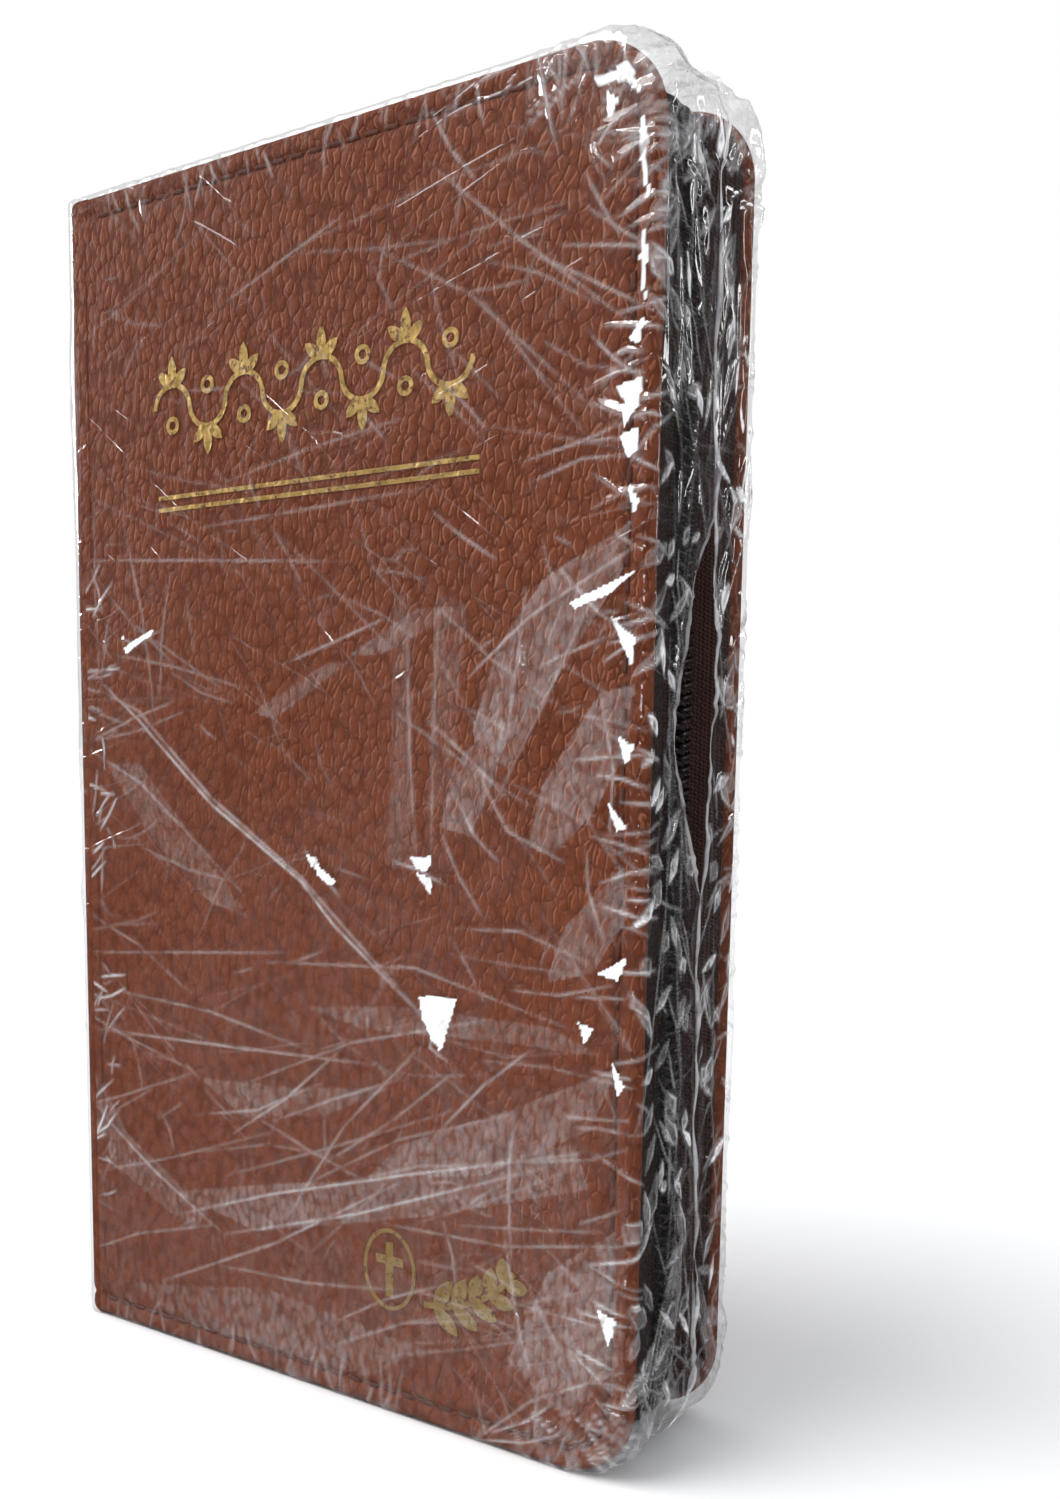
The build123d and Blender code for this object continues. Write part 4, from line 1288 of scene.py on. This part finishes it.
# Small crushed facets painted white as glints, a painted highlight: their corners.
FRONT_PAINTED_GLINTS = (
    [(-39.5, 114.4), (-32.6, 117.2), (-33.0, 116.2), (-39.0, 113.6)],
    [(-1.6, 83.2), (0.6, 82.6), (1.4, 80.6), (-0.4, 81.4)],
    [(0.8, 81.6), (4.2, 79.2), (3.0, 78.8), (0.6, 80.4)],
    [(17.2, 83.6), (20.6, 83.9), (20.2, 81.8), (18.4, 82.4)],
    [(18.2, 81.6), (21.0, 80.8), (20.4, 78.6), (19.0, 80.2)],
    [(18.8, 64.0), (25.0, 64.3), (22.6, 56.6), (21.0, 58.6), (19.4, 60.8)],
    [(41.6, 117.4), (50.8, 121.0), (47.0, 118.2), (42.6, 116.8)],
    [(47.6, 115.6), (50.9, 112.6), (50.6, 109.0), (49.2, 112.0)],
    [(47.4, 143.4), (51.2, 144.0), (50.4, 140.4), (48.8, 138.2), (48.9, 141.2)],
    [(48.2, 137.4), (50.8, 138.2), (50.4, 135.2), (49.4, 134.6)],
    [(49.0, 148.8), (51.2, 151.2), (50.4, 148.0)],
    [(50.7, 161.5), (51.4, 158.6), (51.0, 155.6), (51.4, 152.6), (50.6, 155.0), (50.4, 158.2)],
    [(50.4, 174.0), (51.3, 171.4), (51.0, 168.6), (51.4, 164.2), (50.7, 166.6), (50.3, 170.0)],
    [(42.6, 179.6), (48.6, 180.6), (50.2, 176.8), (48.2, 178.6)],
    [(45.4, 178.2), (47.2, 176.6), (45.8, 174.8)],
    [(49.6, 131.6), (51.0, 129.4), (50.2, 127.6)],
    [(48.8, 100.6), (51.0, 99.4), (50.2, 96.6)],
    [(47.6, 92.4), (50.4, 89.0), (49.0, 88.6)],
    [(46.8, 70.0), (50.8, 72.4), (49.6, 69.4)],
    [(49.2, 58.4), (50.9, 55.6), (50.0, 54.0)],
    [(44.0, 63.2), (46.2, 62.6), (45.0, 60.6)],
    [(47.8, 25.0), (50.6, 24.0), (49.6, 20.4)],
)


def painted_face_glints(x, z, sign):
    """The painted glints of one face's crushed facets; fewer on the rear."""
    total = np.zeros_like(x)
    for corners in FRONT_PAINTED_GLINTS[::1 if sign == FRONT else 2]:
        total = np.maximum(total, inside(x, z, corners))
    return total


def film_haze_face(x, z, sign):
    """Milkiness of the film over a face: thin at the top, and lower down in sharp facets of painted
    reflection.
    """
    low = np.clip((120 - z) / 110, 0, 1)
    total = 0.006 + 0.035 * cloud(x, z, 8.0, 31) * (0.25 + 0.75 * low)
    total = total + 0.035 * low ** 2
    # Each facet adds a painted reflection.
    for corners, level in FRONT_FACETS:
        if sign == REAR:    # the same facets, turned end for end
            corners = [(-0.86 * cx + 2.0, 190 - cz) for cx, cz in corners]
        total = total + level * inside(x, z, corners)
    corner = np.hypot(np.clip(x - 34, 0, None) / 18, np.clip(z - 166, 0, None) / 18)
    return total + 0.10 * np.clip(corner - 0.55, 0, 1) * (x > 34) * (z > 166)


def gap_shards(draw):
    """Small milky shards of crumpled film in the gap, partly the film's milkiness and partly a
    painted reflection: corners in s and v, and how milky.
    """
    shards = []
    for _ in range(115):
        s, v = draw.uniform(FORE_START - 12, FORE_END + 12), draw.uniform(1.0, 17.5)
        angle = math.radians(draw.choice([-1, 1]) * draw.uniform(12, 70))
        length, width = draw.uniform(3.0, 9.5), draw.uniform(1.2, 3.4)
        way = np.array([math.cos(angle), math.sin(angle)])
        off = np.array([-way[1], way[0]])
        middle = np.array([s, v])
        corners = [middle - way * length / 2, middle + off * width * draw.uniform(0.2, 0.6),
                   middle + way * length / 2, middle - off * width * draw.uniform(0.2, 0.6)]
        faint = draw.random() < 0.65
        level = draw.uniform(0.07, 0.24) if faint else draw.uniform(0.25, 0.7)
        if not faint:
            corners = [middle + (c - middle) * 0.7 for c in corners]
        shards.append(([tuple(c) for c in corners], level))
    return shards


def film_haze_side(s, v, corner, shards):
    """Milkiness of the film in the gap and over the edges, with the shards partly a painted
    reflection.
    """
    total = 0.004 + 0.012 * cloud(s, v, 2.6, 33) ** 2 + 0.24 * corner * cloud(s, v, 1.6, 35)
    for corners, level in shards:
        total = total + level * inside(s, v, corners)
    return total


def film_cap(section, edge_z, way):
    """Rows of points that bend the spine's film over one end of the book, outermost first."""
    x, y, nx, ny = section.T
    bend = [(SPINE_FILM_BEND * (1 - math.cos(a)), SPINE_FILM_BEND * math.sin(a))
            for a in np.linspace(0, math.pi / 2, 5)[1:]]
    flap = [(inward, SPINE_FILM_BEND) for inward in (1.4, 2.4, 3.4)]
    return np.array([
        np.stack([np.minimum(x - inward * nx, SPINE_END_X), y - inward * ny,
                  np.full(len(x), edge_z + way * rise)], -1)
        for inward, rise in bend + flap])


def wrap_spine():
    """The film round the spine, with flat flaps over its two ends."""
    section = spine_section(FILM_FACE_D, SPINE_X - 0.4, 4.0, 12, 0.55)
    along = np.concatenate([[0], np.cumsum(np.hypot(*np.diff(section[:, :2], axis=0).T))])
    low, high = 0.7, wrap_high[2] - SPINE_FILM_BEND
    levels = np.arange(low, high, 0.6)
    gu, gz = np.meshgrid(along, levels)
    draw = np.random.default_rng(51)
    lines = Creases()
    lines.scatter(draw, 40, ((3, along[-1] - 3), (5, 180)), (60, 30), (8, 34), (0.15, 0.6),
                  (1.2, 4.0), (0.2, 0.8))
    lines.scatter(draw, 60, ((3, along[-1] - 3), (2, 183)), (0, 60), (3, 10), (0.08, 0.3),
                  (0.7, 2.0), (0.3, 0.9))
    lift, white = lines.field(gu, gz)
    ends = np.clip(np.minimum(gu, along[-1] - gu) / 3.0, 0, 1)
    ends = ends * np.clip(np.minimum(gz - low, high - gz) / 2.0, 0, 1)
    lift = 0.75 * lift * ends
    x, y, nx, ny = section.T
    body = np.stack([x + lift * nx, y + lift * ny, gz], -1)
    top, bottom = (film_cap(section, *edge) for edge in ((levels[-1], 1), (levels[0], -1)))
    grid = np.concatenate([bottom[::-1], body, top])
    rows, cols, _ = grid.shape
    unmarked = np.zeros((len(top), cols))
    crease_whites_and_highlights = np.concatenate([unmarked, white, unmarked])
    thing = add_object("spine_film", grid.reshape(-1, 3), grid_faces(rows, cols))
    face_towards(thing, (-1, 0, 0))
    haze = 0.015 + 0.06 * cloud(np.repeat(along[None], rows, 0), grid[:, :, 2], 5.0, 34) ** 2
    finish_film(thing, crease_whites_and_highlights.ravel(), haze.ravel(), "book_block", "wrap_spine")


wrap_side("front", FRONT, front_creases(), 41)
wrap_side("rear", REAR, Creases(), 42)
wrap_spine()


# ---- Floor, light and camera ----
FLOOR_HALF = 6000.0             # half the side of the square floor
FLOOR_WHITE = 0.97


def floor():
    """A wide floor, very slightly mottled."""
    verts = [(-FLOOR_HALF, -FLOOR_HALF, 0), (FLOOR_HALF, -FLOOR_HALF, 0),
             (FLOOR_HALF, FLOOR_HALF, 0), (-FLOOR_HALF, FLOOR_HALF, 0)]
    thing = add_object("studio_floor", verts, [(0, 1, 2, 3)])
    thing.visible_glossy = False
    shade = Shade("studio_floor")
    tone = shade.blend(shade.noise(shade.coords(), 3.0, 2.0), (*[FLOOR_WHITE] * 3, 1.0),
                       (*[0.985 * FLOOR_WHITE] * 3, 1.0))
    thing.data.materials.append(shade.finish(Base_Color=tone, Roughness=0.9))


def aimed_light(kind, name, place, aim, power):
    """A lamp at place that points at aim, both in metres."""
    light = bpy.data.lights.new(name, kind)
    light.energy = power
    thing = bpy.data.objects.new(name, light)
    thing.location = place
    way = np.array(aim, float) - np.array(place, float)
    tilt = math.acos(-way[2] / np.linalg.norm(way))
    thing.rotation_euler = (tilt, 0, math.atan2(-way[0], way[1]))
    bpy.context.scene.collection.objects.link(thing)
    return light


def softbox(name, place, size, power):
    """A small soft lamp that only gives highlights; the sun and the backdrop light the book."""
    light = aimed_light("AREA", name, place, (0, 0, 0.09), power)
    light.shape = "RECTANGLE"
    light.size, light.size_y = size
    bpy.data.objects[name].visible_diffuse = False


WORLD_LIGHT = 0.74              # strength of the backdrop's even light
WORLD_GLOSS = (0.035, 0.06)     # what gloss sees of it, in front and behind


def white_world():
    """A white backdrop: it lights evenly, and gloss sees it dim, a little brighter behind."""
    world = bpy.data.worlds.new("studio")
    world.use_nodes = True
    nodes, links = world.node_tree.nodes, world.node_tree.links
    path = nodes.new("ShaderNodeLightPath")
    way = nodes.new("ShaderNodeTexCoord")
    parts = nodes.new("ShaderNodeSeparateXYZ")
    links.new(way.outputs["Generated"], parts.inputs[0])
    behind = nodes.new("ShaderNodeMapRange")
    for name, value in zip(("From Min", "From Max", "To Min", "To Max"), (-0.1, 0.9, *WORLD_GLOSS)):
        behind.inputs[name].default_value = value
    links.new(parts.outputs["Y"], behind.inputs["Value"])
    result = nodes["Background"]
    result.inputs["Color"].default_value = (0.95, 0.97, 1.0, 1)
    result.inputs["Strength"].default_value = WORLD_LIGHT
    for ray, strength in (("Is Glossy Ray", behind.outputs["Result"]), ("Is Camera Ray", 1.0)):
        shade = nodes.new("ShaderNodeBackground")
        shade.inputs["Color"].default_value = (1, 1, 1, 1)
        if isinstance(strength, float):
            shade.inputs["Strength"].default_value = strength
        else:
            links.new(strength, shade.inputs["Strength"])
        mix = nodes.new("ShaderNodeMixShader")
        links.new(path.outputs[ray], mix.inputs[0])
        links.new(result.outputs[0], mix.inputs[1])
        links.new(shade.outputs[0], mix.inputs[2])
        result = mix
    links.new(result.outputs[0], nodes["World Output"].inputs["Surface"])
    bpy.context.scene.world = world
    bpy.context.scene.view_settings.view_transform = "Standard"


# Small soft lamps: name, place and size in metres, power in watts.
SOFTBOXES = (
    ("left_strip", (-0.95, -0.22, 0.42), (0.16, 0.36), 5),
    ("fore_edge_strip", (0.62, 0.60, 0.40), (0.08, 0.40), 1.1),
    ("front_low", (0.10, -0.95, 0.16), (0.24, 0.07), 0.7),
    ("front_high", (-0.25, -0.70, 0.85), (0.30, 0.18), 4),
)


def studio():
    """Floor, backdrop, a broad soft sun from the upper left, and the lamps for highlights."""
    floor()
    white_world()
    sun = aimed_light("SUN", "soft_key", (-0.54, -0.66, 1.15), (0, 0, 0), 2.3)
    sun.angle = math.radians(40)
    for row in SOFTBOXES:
        softbox(*row)


# The camera is fitted to the photo's outline: close, level with the book's upper half.
CAMERA_PLACE = (0.1357, -0.1852, 0.1013)
CAMERA_DOWN, CAMERA_LEFT = 7.10, 37.56      # degrees below level, and left of straight ahead
LENS_MM, SHIFT_X, SHIFT_Y = 35.45, 0.125, 0.110


def camera():
    """The photo's camera, off-centre as the photo's crop needs."""
    lens = bpy.data.cameras.new("camera")
    lens.sensor_width = 36.0
    lens.sensor_fit = "AUTO"
    lens.lens = LENS_MM
    lens.shift_x, lens.shift_y = SHIFT_X, SHIFT_Y
    lens.clip_start = 0.01
    thing = bpy.data.objects.new("camera", lens)
    thing.location = CAMERA_PLACE
    thing.rotation_euler = (math.radians(90 - CAMERA_DOWN), 0, math.radians(CAMERA_LEFT))
    bpy.context.scene.collection.objects.link(thing)
    bpy.context.scene.camera = thing


studio()
camera()
